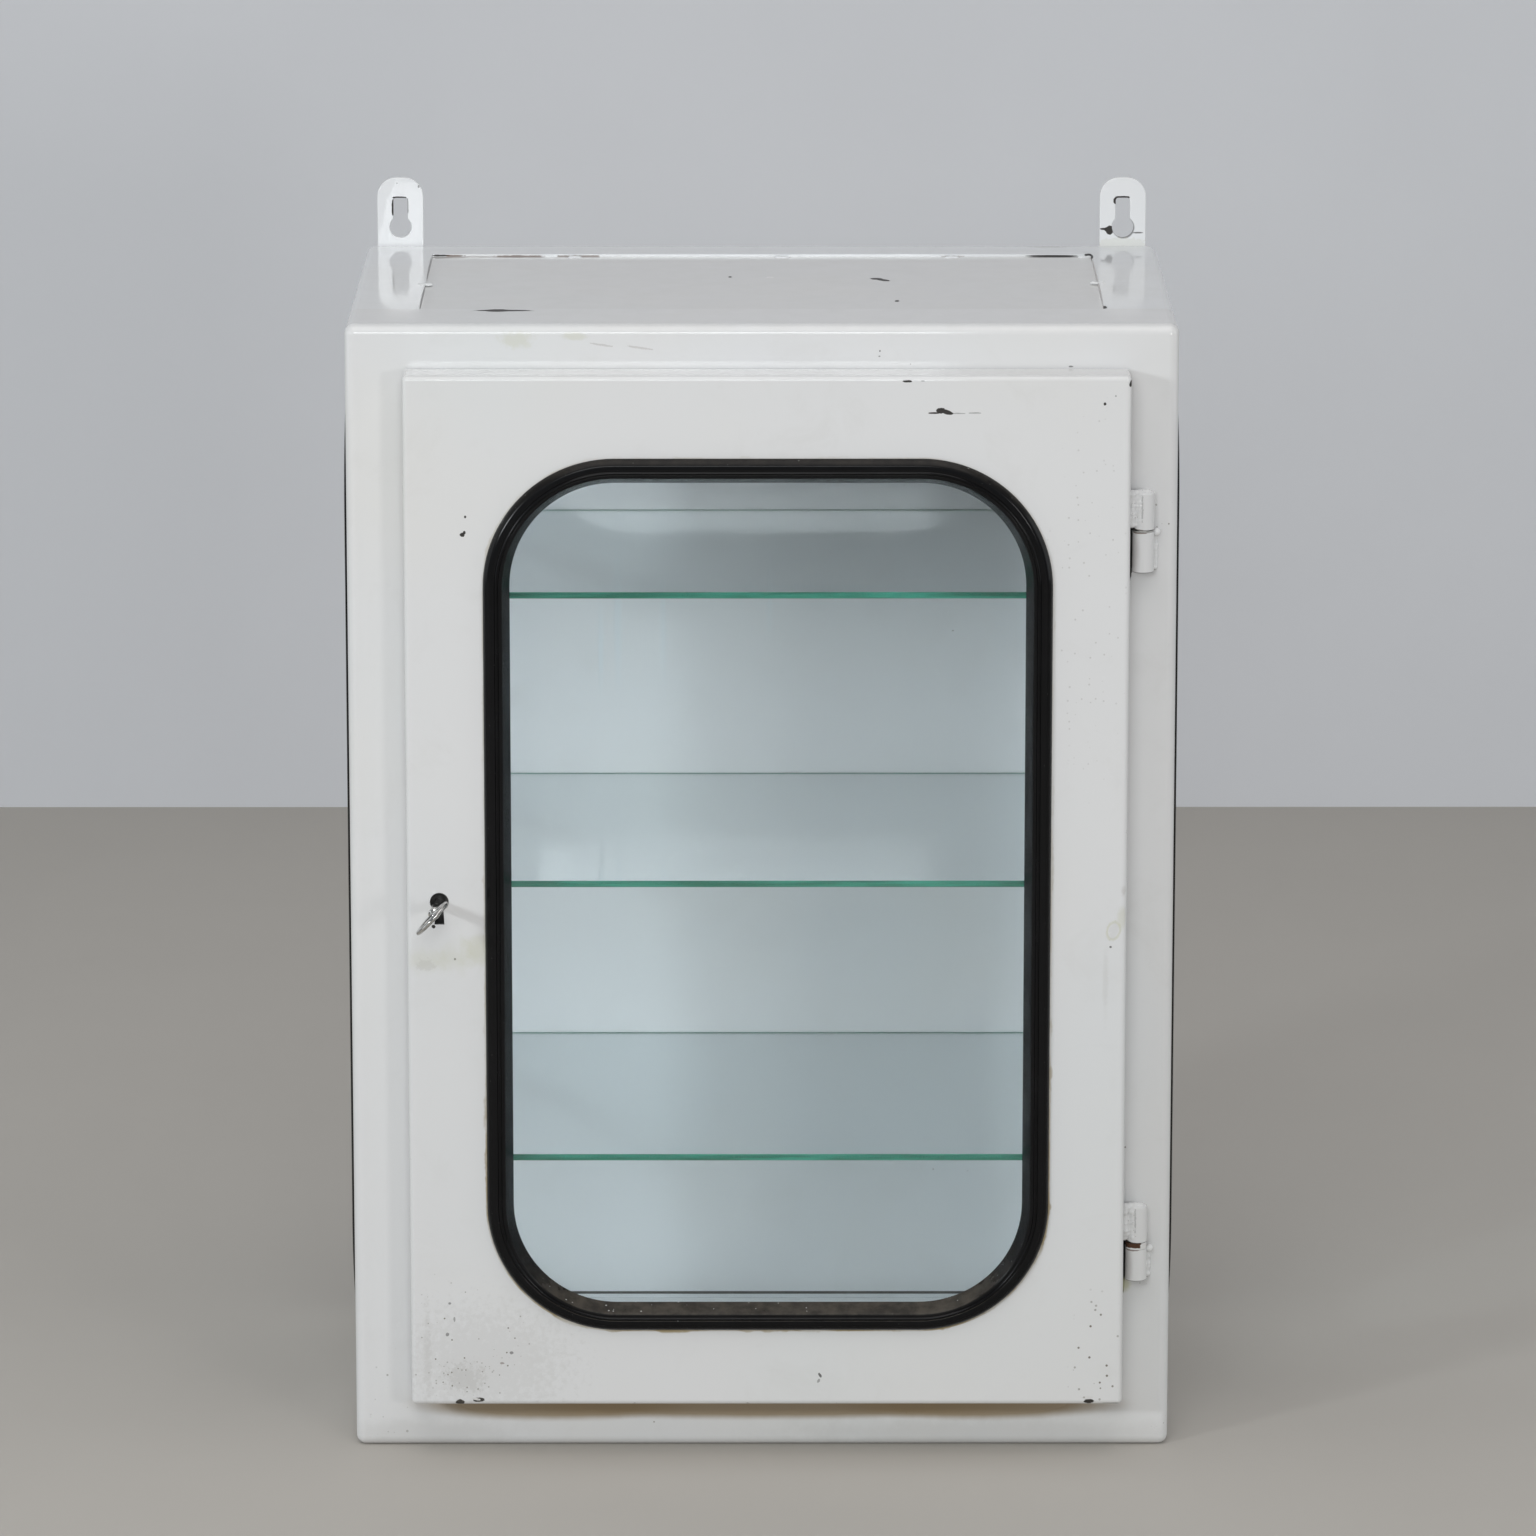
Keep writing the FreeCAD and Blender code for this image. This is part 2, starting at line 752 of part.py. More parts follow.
def make_shelf(label, index, depth):
    """A loose glass shelf that touches neither the back nor the front tray."""
    plate = DOC.addObject("Part::Box", label)
    half_width = shelf_half_width()
    bind(plate, "Length", half_width * 2)
    bind(plate, "Width", depth)
    bind(plate, "Height", size("shelf_thickness"))
    back = size("body_depth") / 2 - size("body_sheet") - size("shelf_end_clearance")
    place(plate, -half_width, back - depth, shelf_top(index) - size("shelf_thickness"))


def make_shelf_rail(label, index, side):
    """Angle that runs from the front tray to the back tray under one end of a shelf."""
    body = new_body(label)
    leg = size("rail_leg")
    sheet = size("rail_sheet")
    length = size("body_depth") - size("body_sheet") * 2
    section = new_sketch(body, "section", "XZ_Plane", -length / 2)
    outer = shelf_half_width() + size("shelf_side_clearance") + sheet
    outline(section, [
        (outer * side, ZERO), ((outer - leg) * side, ZERO), ((outer - leg) * side, sheet),
        ((outer - sheet) * side, sheet), ((outer - sheet) * side, leg), (outer * side, leg),
    ])
    pad(body, section, "angle", length)
    place(body, up=shelf_top(index) - size("shelf_thickness") - sheet)


def make_shelves():
    """Three shelves, the top one shallower than the others, each on two rails."""
    full_depth = size("body_depth") - size("body_sheet") * 2 - size("shelf_end_clearance") * 2
    depths = (("bottom", full_depth), ("middle", full_depth), ("top", full_depth - size("top_shelf_setback")))
    for index, (name, depth) in enumerate(depths):
        make_shelf(name + "_shelf", index, depth)
        for side_name, side in (("left", -1), ("right", 1)):
            make_shelf_rail(name + "_" + side_name + "_shelf_rail", index, side)


def hinge_across():
    """Where the hinge axis lies across the cabinet."""
    return size("body_width") / 2 - size("door_right_margin") + size("hinge_side_gap")


def hinge_line():
    """Where the hinge axis lies along the depth."""
    return -size("body_depth") / 2 - size("knuckle_radius") - size("knuckle_stand_off")


def start_knuckle(label, length, web, bevelled):
    """A barrel standing on its own XY plane with the weld bead that joins it to its carrier."""
    body = new_body(label)
    barrel = new_sketch(body, "barrel", "XY_Plane")
    circle(barrel, ZERO, ZERO, size("knuckle_radius"))
    pad(body, barrel, "cylinder", length)
    if bevelled:
        dress(body, "Chamfer", "end_bevel", lambda box: is_level(box.ZMin, box.ZMax, length),
              size("knuckle_bevel"))
    weld = new_sketch(body, "weld", "XY_Plane", size("knuckle_bevel"))
    outline(weld, web)
    pad(body, weld, "weld_bead", length - size("knuckle_bevel") * 2)
    return body


def make_body_knuckle(label, length, pin_height, height):
    """Knuckle welded to the front tray, with the pin that stands in it."""
    body = start_knuckle(label, length, body_web(), False)
    pin = new_sketch(body, "pin", "XY_Plane", length)
    circle(pin, ZERO, ZERO, size("pin_radius"))
    pad(body, pin, "pin_rod", pin_height)
    place(body, hinge_across(), hinge_line(), height)


def make_door_knuckle(label, height):
    """Knuckle welded to the door's edge, bored blind from below for the pin."""
    length = size("door_knuckle_length")
    body = start_knuckle(label, length, door_web(), True)
    bore = new_sketch(body, "bore", "XY_Plane")
    circle(bore, ZERO, ZERO, size("pin_radius") + size("pin_clearance"))
    pocket(body, bore, "bore_cut", size("pin_rise") + size("pin_end_cover"), back=True)
    place(body, hinge_across(), hinge_line(), height)


def body_web():
    """Weld bead between a body knuckle and the face of the front tray."""
    radius = size("knuckle_radius")
    face = radius + size("knuckle_stand_off")
    return [
        (-radius / 2, face), (-radius / 2, radius / 2), (radius * 0.9, radius * 0.3),
        (radius * 0.9, face - size("weld_reach") / 2), (size("weld_width"), face),
    ]


def door_web():
    """Weld bead between a door knuckle and the turned-back edge of the door."""
    radius = size("knuckle_radius")
    edge = -size("hinge_side_gap")
    back = radius / 2
    front = back - size("door_web_thickness")
    return [
        (edge, front), (radius / 2, -radius * 0.8), (radius / 2, radius * 0.6), (edge, back),
    ]


def make_ring_washer(label, thickness, height):
    """Flat washer between the two knuckles of a hinge."""
    disc = DOC.addObject("Part::Cylinder", label + "_disc")
    bind(disc, "Radius", size("knuckle_radius"))
    bind(disc, "Height", thickness)
    bore = DOC.addObject("Part::Cylinder", label + "_bore")
    bind(bore, "Radius", size("pin_radius") + size("pin_clearance"))
    bind(bore, "Height", thickness)
    washer = DOC.addObject("Part::Cut", label)
    washer.Base = disc
    washer.Tool = bore
    place(washer, hinge_across(), hinge_line(), height)


def make_hinge(prefix, height, body_length, washer_thickness):
    """Body knuckle with its pin, washer, and door knuckle on top."""
    door_foot = height + washer_thickness + size("hinge_running_gap")
    pin_height = door_foot + size("pin_rise") - height
    make_body_knuckle(prefix + "_body_knuckle", body_length, pin_height, height - body_length)
    make_ring_washer(prefix + "_hinge_washer", washer_thickness, height)
    make_door_knuckle(prefix + "_door_knuckle", door_foot)


def make_hinges():
    """The two hinges on the right of the door."""
    make_hinge(
        "upper", size("body_height") - size("door_top_margin") - size("upper_hinge_drop"),
        size("upper_body_knuckle_length"),
        size("upper_washer_thickness"),
    )
    make_hinge(
        "lower", size("door_bottom_margin") + size("lower_hinge_rise"),
        size("lower_body_knuckle_length"),
        size("lower_washer_thickness"),
    )


def lock_face():
    """Level of the door skin's inner face, on which the lock case is welded."""
    return door_front() + size("door_sheet")


def lock_plan(sketch, margin):
    """Rectangular outline of the lock, drawn in by a margin on each side."""
    left = margin - size("lock_left")
    right = size("lock_right") - margin
    foot = margin - size("lock_foot")
    head = size("lock_top") - margin
    outline(sketch, [(left, foot), (right, foot), (right, head), (left, head)])


def make_lock_case():
    """Open box with a keyhole in its face and a slot for the bolt in its side."""
    body = new_body("lock_case")
    sheet = size("lock_sheet")
    depth = size("lock_depth")
    plan = new_sketch(body, "plan", "XZ_Plane")
    lock_plan(plan, ZERO)
    pad(body, plan, "block", depth, back=True)
    hollow = new_sketch(body, "hollow", "XZ_Plane", -sheet)
    lock_plan(hollow, sheet)
    pocket(body, hollow, "hollow_cut", depth)
    cut_keyhole(body, ZERO, ZERO, sheet * 2)
    window = new_sketch(body, "bolt_slot", "YZ_Plane", -size("lock_left"))
    cut_bolt_slot(window, size("bolt_face_offset"))
    pocket(body, window, "bolt_slot_cut", sheet * 2, back=True)
    place(body, key_across(), lock_face(), key_height())


def cut_bolt_slot(sketch, front):
    """Rectangle that the bolt passes through with its clearance all round."""
    gap = size("bolt_clearance")
    outline(sketch, [
        (front - gap, size("bolt_foot") - gap),
        (front + size("bolt_thickness") + gap, size("bolt_foot") - gap),
        (front + size("bolt_thickness") + gap, size("bolt_foot") + size("bolt_height") + gap),
        (front - gap, size("bolt_foot") + size("bolt_height") + gap),
    ])


def make_lock_cover():
    """Cover plate with the drill pin that centres the key."""
    body = new_body("lock_cover")
    sheet = size("lock_sheet")
    plan = new_sketch(body, "plan", "XZ_Plane")
    lock_plan(plan, ZERO)
    pad(body, plan, "plate", sheet, back=True)
    pin = new_sketch(body, "drill_pin", "XZ_Plane")
    circle(pin, ZERO, ZERO, size("drill_pin_radius"))
    pad(body, pin, "drill_pin_rod", size("lock_depth"))
    place(body, key_across(), lock_face() + size("lock_depth"), key_height())


def make_lock_bolt():
    """Sliding bolt above the key's axis, notched where the key's bit drives it."""
    body = new_body("lock_bolt")
    tip = size("bolt_tip_recess") - size("lock_left")
    end = tip + size("bolt_length")
    foot = size("bolt_foot")
    head = foot + size("bolt_height")
    notch_middle = size("bolt_notch_shift")
    half_notch = size("bolt_notch_width") / 2
    notch_head = foot + size("bolt_notch_height")
    plan = new_sketch(body, "plan", "XZ_Plane")
    outline(plan, [
        (tip, foot), (notch_middle - half_notch, foot), (notch_middle - half_notch, notch_head),
        (notch_middle + half_notch, notch_head), (notch_middle + half_notch, foot),
        (end, foot), (end, head), (tip, head),
    ])
    pad(body, plan, "plate", size("bolt_thickness"), back=True)
    place(body, key_across(), lock_face() + size("bolt_face_offset"), key_height())


def make_lock_spring():
    """Bowed leaf spring between the top of the case and the bolt."""
    thickness = size("spring_thickness")
    gap = size("bolt_clearance")
    half_span = size("spring_span") / 2
    head = size("lock_top") - size("lock_sheet") - gap
    belly = size("bolt_foot") + size("bolt_height") + gap
    leaf = DOC.addObject("Part::Feature", "lock_spring")
    front = lock_face() + size("bolt_face_offset")

    middle = key_across() + size("spring_shift")

    def point(across, up):
        return FreeCAD.Vector((middle + across).value, front.value, (key_height() + up).value)

    def bow(lift):
        ends = head - thickness + lift
        return Part.Arc(point(-half_span, ends), point(ZERO, belly + lift), point(half_span, ends)).toShape()

    lower = bow(ZERO)
    upper = bow(thickness)
    sides = [
        Part.makeLine(lower.Vertexes[-1].Point, upper.Vertexes[-1].Point),
        Part.makeLine(upper.Vertexes[0].Point, lower.Vertexes[0].Point),
    ]
    wire = Part.Wire(Part.__sortEdges__([lower, upper] + sides))
    leaf.Shape = Part.Face(wire).extrude(FreeCAD.Vector(0, size("bolt_thickness").value, 0))


def make_lock_keeper():
    """Angle on the front tray whose window takes the bolt."""
    body = new_body("lock_keeper")
    sheet = size("keeper_sheet")
    reach = size("door_depth") + size("door_gap") - size("door_sheet") - size("keeper_front_clearance")
    foot = size("bolt_foot") + size("bolt_height") / 2 - size("keeper_height") / 2
    section = new_sketch(body, "section", "XY_Plane", foot)
    outline(section, [
        (ZERO, ZERO), (size("keeper_foot"), ZERO), (size("keeper_foot"), -sheet), (sheet, -sheet),
        (sheet, -reach), (ZERO, -reach),
    ])
    pad(body, section, "angle", size("keeper_height"))
    window = new_sketch(body, "window", "YZ_Plane")
    bolt_front = lock_face() + size("bolt_face_offset") + size("body_depth") / 2
    cut_bolt_slot(window, bolt_front)
    pocket(body, window, "window_cut", through(sheet), middle=True)
    left = key_across() - size("lock_left") - size("keeper_gap") - sheet
    place(body, left, -size("body_depth") / 2, key_height())


def make_key():
    """Pipe key: bored shank, collar, warded bit and a flat ring bow."""
    body = new_body("key")
    tip = size("lock_depth") - size("shank_tip_clearance")
    bow_front = size("bow_distance") + size("door_sheet")
    half_bow = size("bow_length") / 2
    shank = new_sketch(body, "shank", "XZ_Plane", -tip)
    circle(shank, ZERO, ZERO, size("shank_radius"))
    pad(body, shank, "shank_rod", tip + bow_front - half_bow + size("bow_rim") / 2)
    collar = new_sketch(body, "collar", "XZ_Plane", bow_front - half_bow - size("collar_length"))
    circle(collar, ZERO, ZERO, size("collar_radius"))
    pad(body, collar, "collar_ring", size("collar_length"))
    bow = new_sketch(body, "bow", "YZ_Plane")
    half_width = size("bow_width") / 2
    rim = size("bow_rim")
    rounded_rectangle(bow, size("bow_length"), size("bow_width"), half_bow * 0.96, -bow_front)
    pad(body, bow, "bow_plate", size("bow_thickness"), middle=True)
    hole = new_sketch(body, "bow_hole", "YZ_Plane")
    inner_length = size("bow_length") - rim * 2
    rounded_rectangle(hole, inner_length, (half_width - rim) * 2, inner_length * 0.48, -bow_front)
    pocket(body, hole, "bow_hole_cut", size("bow_thickness") * 2, middle=True)
    bit = new_sketch(body, "bit", "YZ_Plane")
    outline(bit, bit_outline())
    pad(body, bit, "bit_plate", size("bit_thickness"), middle=True)
    bore = new_sketch(body, "bore", "XZ_Plane", -tip)
    circle(bore, ZERO, ZERO, size("drill_pin_radius") + size("shank_bore_clearance"))
    pocket(body, bore, "bore_cut", size("shank_bore_depth"), back=True)
    turn(body, FreeCAD.Vector(0, 1, 0), size("bow_turn").value)
    bind(body, "Placement.Rotation.Angle", size("bow_turn"))
    place(body, key_across(), lock_face(), key_height())


def bit_outline():
    """Bit below the shank with a ward cut in its foot."""
    start = size("bit_start")
    end = start + size("bit_width")
    middle = (start + end) / 2
    half_ward = size("ward_width") / 2
    reach = -size("bit_reach")
    notch = reach + size("ward_depth")
    root = -size("shank_radius") * 0.8
    return [
        (start, root), (start, reach), (middle - half_ward, reach), (middle - half_ward, notch),
        (middle + half_ward, notch), (middle + half_ward, reach), (end, reach), (end, root),
    ]


def make_cabinet():
    """Every piece of the cabinet, from the body outwards."""
    make_front_frame()
    make_back_panel()
    make_side_panel("left_side_panel", -1)
    make_side_panel("right_side_panel", 1)
    make_top_panel()
    make_bottom_panel()
    make_hanging_bracket("left_hanging_bracket", -1)
    make_hanging_bracket("right_hanging_bracket", 1)
    make_door_pan()
    make_door_window()
    make_side_windows()
    make_shelves()
    make_hinges()
    make_lock_case()
    make_lock_cover()
    make_lock_bolt()
    make_lock_spring()
    make_lock_keeper()
    make_key()


PIECES = (
    "front_frame", "back_panel", "left_side_panel", "right_side_panel", "top_panel", "bottom_panel",
    "left_hanging_bracket", "right_hanging_bracket", "door_pan",
    "door_seal", "door_seal_filler", "door_glass",
    "left_side_seal", "left_side_glass",
    "right_side_seal", "right_side_glass",
    "bottom_shelf", "middle_shelf", "top_shelf",
    "bottom_left_shelf_rail", "bottom_right_shelf_rail", "middle_left_shelf_rail",
    "middle_right_shelf_rail", "top_left_shelf_rail", "top_right_shelf_rail",
    "upper_body_knuckle", "upper_hinge_washer", "upper_door_knuckle",
    "lower_body_knuckle", "lower_hinge_washer", "lower_door_knuckle",
    "lock_case", "lock_cover", "lock_bolt", "lock_spring", "lock_keeper", "key",
)


def check_document():
    """Stop at any object that failed, and at any piece that isn't a sound solid."""
    DOC.recompute()
    for item in DOC.Objects:
        if "Invalid" in item.State or "Error" in item.State:
            raise RuntimeError(item.Name + " failed: " + str(item.State))
    for label in PIECES:
        shape = DOC.getObjectsByLabel(label)[0].Shape
        if shape.isNull() or not shape.isValid() or not shape.Solids:
            raise RuntimeError(label + " is not a valid solid")


def write_pieces():
    """Write each piece to its own file."""
    os.makedirs("parts", exist_ok=True)
    for label in PIECES:
        shape = DOC.getObjectsByLabel(label)[0].Shape
        shape.exportStep(os.path.join("parts", label + ".step"))
        print(label, len(shape.Solids), "solid(s)", round(shape.Volume), "mm3")


make_cabinet()
check_document()
write_pieces()
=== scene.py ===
"""Looks of a wall-hung medicine cabinet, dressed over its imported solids.

Sizes are millimetres in the frame's own axes: +X right, +Y into the cabinet, +Z up.
"""

import logging
import math
import random
from dataclasses import dataclass
from enum import Enum
from functools import partial, partialmethod
from typing import Callable, Sequence

import bmesh
import bpy
from bmesh.types import BMEdge, BMFace, BMVert
from mathutils import Matrix, Vector


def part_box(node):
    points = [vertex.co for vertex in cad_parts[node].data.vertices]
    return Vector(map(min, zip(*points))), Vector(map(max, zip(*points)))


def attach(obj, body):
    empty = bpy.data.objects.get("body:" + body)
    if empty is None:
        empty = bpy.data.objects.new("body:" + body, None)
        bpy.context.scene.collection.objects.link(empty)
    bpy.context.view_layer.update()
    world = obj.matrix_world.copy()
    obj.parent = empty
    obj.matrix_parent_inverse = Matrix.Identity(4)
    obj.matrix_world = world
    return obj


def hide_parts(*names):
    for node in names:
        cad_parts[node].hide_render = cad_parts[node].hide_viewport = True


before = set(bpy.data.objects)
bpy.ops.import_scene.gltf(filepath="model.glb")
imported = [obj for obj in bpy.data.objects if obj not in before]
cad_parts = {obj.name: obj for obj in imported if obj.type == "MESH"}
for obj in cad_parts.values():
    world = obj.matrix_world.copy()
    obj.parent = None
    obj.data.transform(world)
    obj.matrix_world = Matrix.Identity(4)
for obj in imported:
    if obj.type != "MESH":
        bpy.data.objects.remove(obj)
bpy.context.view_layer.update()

log = logging.getLogger("medicine_cabinet")

MM = 0.001
MERGE = 0.002
QUARTER = math.pi / 2
ORIGIN = (0.0, 0.0, 0.0)
RIGHT = (1.0, 0.0, 0.0)
INWARD = (0.0, 1.0, 0.0)
OUTWARD = (0.0, -1.0, 0.0)
UP = (0.0, 0.0, 1.0)
FRONT_FACE = -150.0
DOOR_FACE = -177.0

Pair = tuple[float, float]
Triple = tuple[float, float, float]
Socket = bpy.types.NodeSocket


class Body(Enum):
    """The moving bodies of the cabinet."""

    CABINET = "cabinet"
    DOOR = "door"
    KEY = "key"


class Slot(Enum):
    """The material slots named for the scene's own pieces, which are passed along but not read."""

    ENAMEL = "white_enamel"
    RUBBER = "black_rubber"
    GLASS = "clear_glass"
    CHROME = "chrome"
    STEEL = "bare_steel"
    RUST = "rusty_steel"


class Side(Enum):
    """The two sides of the cabinet, by the sign of X."""

    LEFT = -1
    RIGHT = 1

    @property
    def word(self) -> str:
        """The side's name as the nodes spell it."""
        return self.name.lower()


def metres(point: Sequence[float], factor: float = 1.0) -> list[float]:
    """Turns millimetres into metres.

    Args:
        point: A place or a size.
        factor: What each part is multiplied by.

    Returns:
        The parts in metres.
    """
    return [part * factor * MM for part in point]


def only(kind: type, parts: Sequence[object]) -> list:
    """The parts of one kind, out of what a bmesh operator made."""
    return [part for part in parts if isinstance(part, kind)]


def add_object(name: str, data: bpy.types.ID) -> bpy.types.Object:
    """Adds an object to the scene.

    Args:
        name: Its name.
        data: Its mesh, lamp or camera.

    Returns:
        The object.
    """
    made = bpy.data.objects.new(name, data)
    bpy.context.scene.collection.objects.link(made)
    return made


class Graph:
    """Short calls for adding and joining the nodes of one tree. What feeds an input is a socket or plain numbers."""

    def __init__(self, tree: bpy.types.NodeTree) -> None:
        """Holds the tree that the calls work on."""
        self.tree = tree

    def feed(self, socket: Socket, value: object) -> None:
        """Joins a socket to an input, or sets the input's own value; a colour gets its alpha here.

        Args:
            socket: The input to feed.
            value: A socket to join, or plain numbers.
        """
        if isinstance(value, bpy.types.NodeSocket):
            self.tree.links.new(value, socket)
        else:
            socket.default_value = (*value, 1.0) if socket.type == "RGBA" else value

    def add(self, kind: str, feeds: dict | None = None, **settings: object) -> bpy.types.Node:
        """Adds a node.

        Args:
            kind: The node's type name, which for a shader node goes without its first word.
            feeds: What feeds each input, by the input's name or number.
            settings: Properties of the node itself.

        Returns:
            The new node.
        """
        node = self.tree.nodes.new(kind if kind.startswith("Node") else f"ShaderNode{kind}")
        for name, value in settings.items():
            setattr(node, name, value)
        for key, value in (feeds or {}).items():
            self.feed(node.inputs[key], value)
        return node

    def math(self, operation: str, *terms: object) -> Socket:
        """One sum of up to three numbers, by its name, such as MULTIPLY_ADD."""
        return self.add("Math", dict(enumerate(terms)), operation=operation).outputs[0]

    times = partialmethod(math, "MULTIPLY")
    minus = partialmethod(math, "SUBTRACT")
    rest = partialmethod(math, "SUBTRACT", 1.0)
    fuse = partialmethod(math, "MULTIPLY_ADD")

    def vector(self, operation: str, *terms: object, out: str = "Vector") -> Socket:
        """One sum of vectors, by its name, such as SUBTRACT."""
        return self.add("VectorMath", dict(enumerate(terms)), operation=operation).outputs[out]

    def parts(self, point: Socket) -> list[Socket]:
        """The X, Y and Z of a vector."""
        return list(self.add("SeparateXYZ", {0: point}).outputs)

    def step(self, value: Socket, low: object, high: object, start: object = 0.0, end: object = 1.0) -> Socket:
        """A smooth step of a value, from start at low to end at high.

        Args:
            value: The value that is mapped.
            low: Where the step begins.
            high: Where the step ends.
            start: The result at and before low.
            end: The result at and past high.

        Returns:
            The result's socket.
        """
        feeds = dict(enumerate((value, low, high, start, end)))
        return self.add("MapRange", feeds, interpolation_type="SMOOTHSTEP").outputs[0]

    def noise(self, point: Socket, scale: object, detail: float = 2.0, rough: float = 0.5,
              twist: float = 0.0) -> Socket:
        """Cloudy noise from 0 to 1.

        Args:
            point: Where the noise is read.
            scale: Cells per metre.
            detail: How many finer layers it has.
            rough: How strong the finer layers are.
            twist: How far the cells are bent.

        Returns:
            The noise's socket.
        """
        feeds = {"Vector": point, "Scale": scale, "Detail": detail, "Roughness": rough, "Distortion": twist}
        return self.add("TexNoise", feeds).outputs["Fac"]

    def clouds(self, point: Socket, grain: Sequence[float], *limits: float) -> Socket:
        """Noise drawn apart into clouds.

        Args:
            point: Where the noise is read.
            grain: The noise's scale, detail, rough and twist.
            limits: The step's low, high, start and end.

        Returns:
            The clouds' socket.
        """
        return self.step(self.noise(point, *grain), *limits)

    def blend(self, share: object, first: object, second: object) -> Socket:
        """A mix of two colours.

        Args:
            share: How much of the second one there is.
            first: A colour or socket.
            second: A colour or socket.

        Returns:
            The mixed colour's socket.
        """
        return self.add("Mix", {0: share, 6: first, 7: second}, data_type="RGBA").outputs[2]

    def stretch(self, point: Socket, *scale: float) -> Socket:
        """The point with each axis multiplied, so that a pattern gets longer or shorter along it."""
        return self.add("Mapping", {"Vector": point, "Scale": scale}).outputs[0]

    def here(self) -> Socket:
        """Where the surface lies in the piece's own coordinates."""
        return self.add("TexCoord").outputs["Object"]

    def skin(self, colour: object, rough: object, height: Socket, more: dict | None = None) -> Socket:
        """A bumped surface.

        Args:
            colour: Its colour.
            rough: Its roughness.
            height: Its height in metres.
            more: What feeds further inputs, by their names.

        Returns:
            The shader's socket.
        """
        normal = self.add("Bump", {"Strength": 1.0, "Distance": 1.0, "Height": height}).outputs[0]
        feeds = {"Base Color": colour, "Roughness": rough, "Normal": normal, **(more or {})}
        return self.add("BsdfPrincipled", feeds).outputs[0]

    def clear_where(self, share: Socket, shader: Socket, tint: Triple = (1.0, 1.0, 1.0)) -> Socket:
        """A shader that lets light straight through in some cases.

        Args:
            share: How clear it is.
            shader: What it is otherwise.
            tint: The colour of the light that passes.

        Returns:
            The shader's socket.
        """
        clear = self.add("BsdfTransparent", {0: tint}).outputs[0]
        return self.add("MixShader", {0: share, 1: shader, 2: clear}).outputs[0]


@dataclass
class Effect:
    """A shader group that several finishes share, built the first time it is placed.

    Its inputs are the point, then the further points, then the numbers, in the order of the drawing's arguments.
    """

    name: str
    draw: Callable[..., list[Socket]]
    points: str = ""
    numbers: str = ""
    outputs: str = "Mask"
    tree: bpy.types.NodeTree | None = None

    def build(self) -> None:
        """Makes the group's tree with its named sockets."""
        self.tree = bpy.data.node_groups.new(self.name, "ShaderNodeTree")
        for names, way, kind in (
            (f"Point {self.points}", "INPUT", "Vector"),
            (self.numbers, "INPUT", "Float"),
            (self.outputs, "OUTPUT", "Float"),
        ):
            for name in names.split():
                self.tree.interface.new_socket(name=name, in_out=way, socket_type=f"NodeSocket{kind}")
        graph = Graph(self.tree)
        given = list(graph.add("NodeGroupInput").outputs)[:-1]
        graph.add("NodeGroupOutput", dict(enumerate(self.draw(graph, *given))))

    def place(self, graph: Graph, *feeds: object) -> list[Socket]:
        """Adds the group to a tree.

        Args:
            graph: The tree that gets it.
            feeds: What feeds its inputs, in their order.

        Returns:
            Its outputs, in their order.
        """
        if self.tree is None:
            self.build()
        return list(graph.add("Group", dict(enumerate(feeds)), node_tree=self.tree).outputs)


def effect(name: str, **sockets: str) -> Callable[[Callable[..., list[Socket]]], Effect]:
    """Makes an effect of the drawing below it.

    Args:
        name: The group's name.
        sockets: The names of its points, numbers and outputs.

    Returns:
        What turns the drawing into the effect.
    """
    return lambda draw: Effect(name, draw, **sockets)


@effect("Enamel skin", numbers="Peel Sag Brush", outputs="Height")
def enamel_skin(graph: Graph, point: Socket, peel: Socket, sag: Socket, brush: Socket) -> list[Socket]:
    """Height of sprayed enamel: fine peel, soft runs, brushed patches and the slow waves of the sheet."""
    fine = graph.minus(graph.noise(point, 520.0, 1.0), 0.5)
    runs = graph.minus(graph.noise(graph.stretch(point, 1.0, 1.0, 0.35), 70.0, 1.0), 0.5)
    slow = graph.minus(graph.noise(point, 7.0, 1.0), 0.5)
    peeled = graph.times(graph.fuse(runs, 2.2, fine), peel)
    hairs = graph.noise(graph.stretch(point, 0.22, 1.0, 1.0), 170.0, 3.0, 0.6, 0.5)
    patch = graph.clouds(point, (6.0, 2.0), 0.42, 0.62, 0.15, 1.0)
    brushed = graph.times(graph.times(hairs, patch), brush)
    return [graph.math("ADD", brushed, graph.fuse(slow, sag, peeled))]


FAR = 4.0


@effect("Ragged spot", points="Middle Tilt Reach", numbers="Grain Rag Soft")
def ragged_spot(graph: Graph, point: Socket, middle: Socket, tilt: Socket, reach: Socket, grain: Socket, rag: Socket,
                soft: Socket) -> list[Socket]:
    """A ragged patch, full inside its reach and none outside. The reach comes FAR times as long as it is."""
    feeds = {"Vector": point, "Location": middle, "Rotation": tilt, "Scale": reach}
    local = graph.add("Mapping", feeds, vector_type="TEXTURE").outputs[0]
    ball = graph.add("TexGradient", {"Vector": local}, gradient_type="SPHERICAL").outputs["Fac"]
    away = graph.times(graph.rest(ball), FAR)
    rim = graph.minus(graph.noise(point, grain, 4.0, 0.65), 0.5)
    ragged = graph.fuse(rim, rag, away)
    return [graph.step(ragged, graph.rest(soft), graph.math("ADD", 1.0, soft), 1.0, 0.0)]


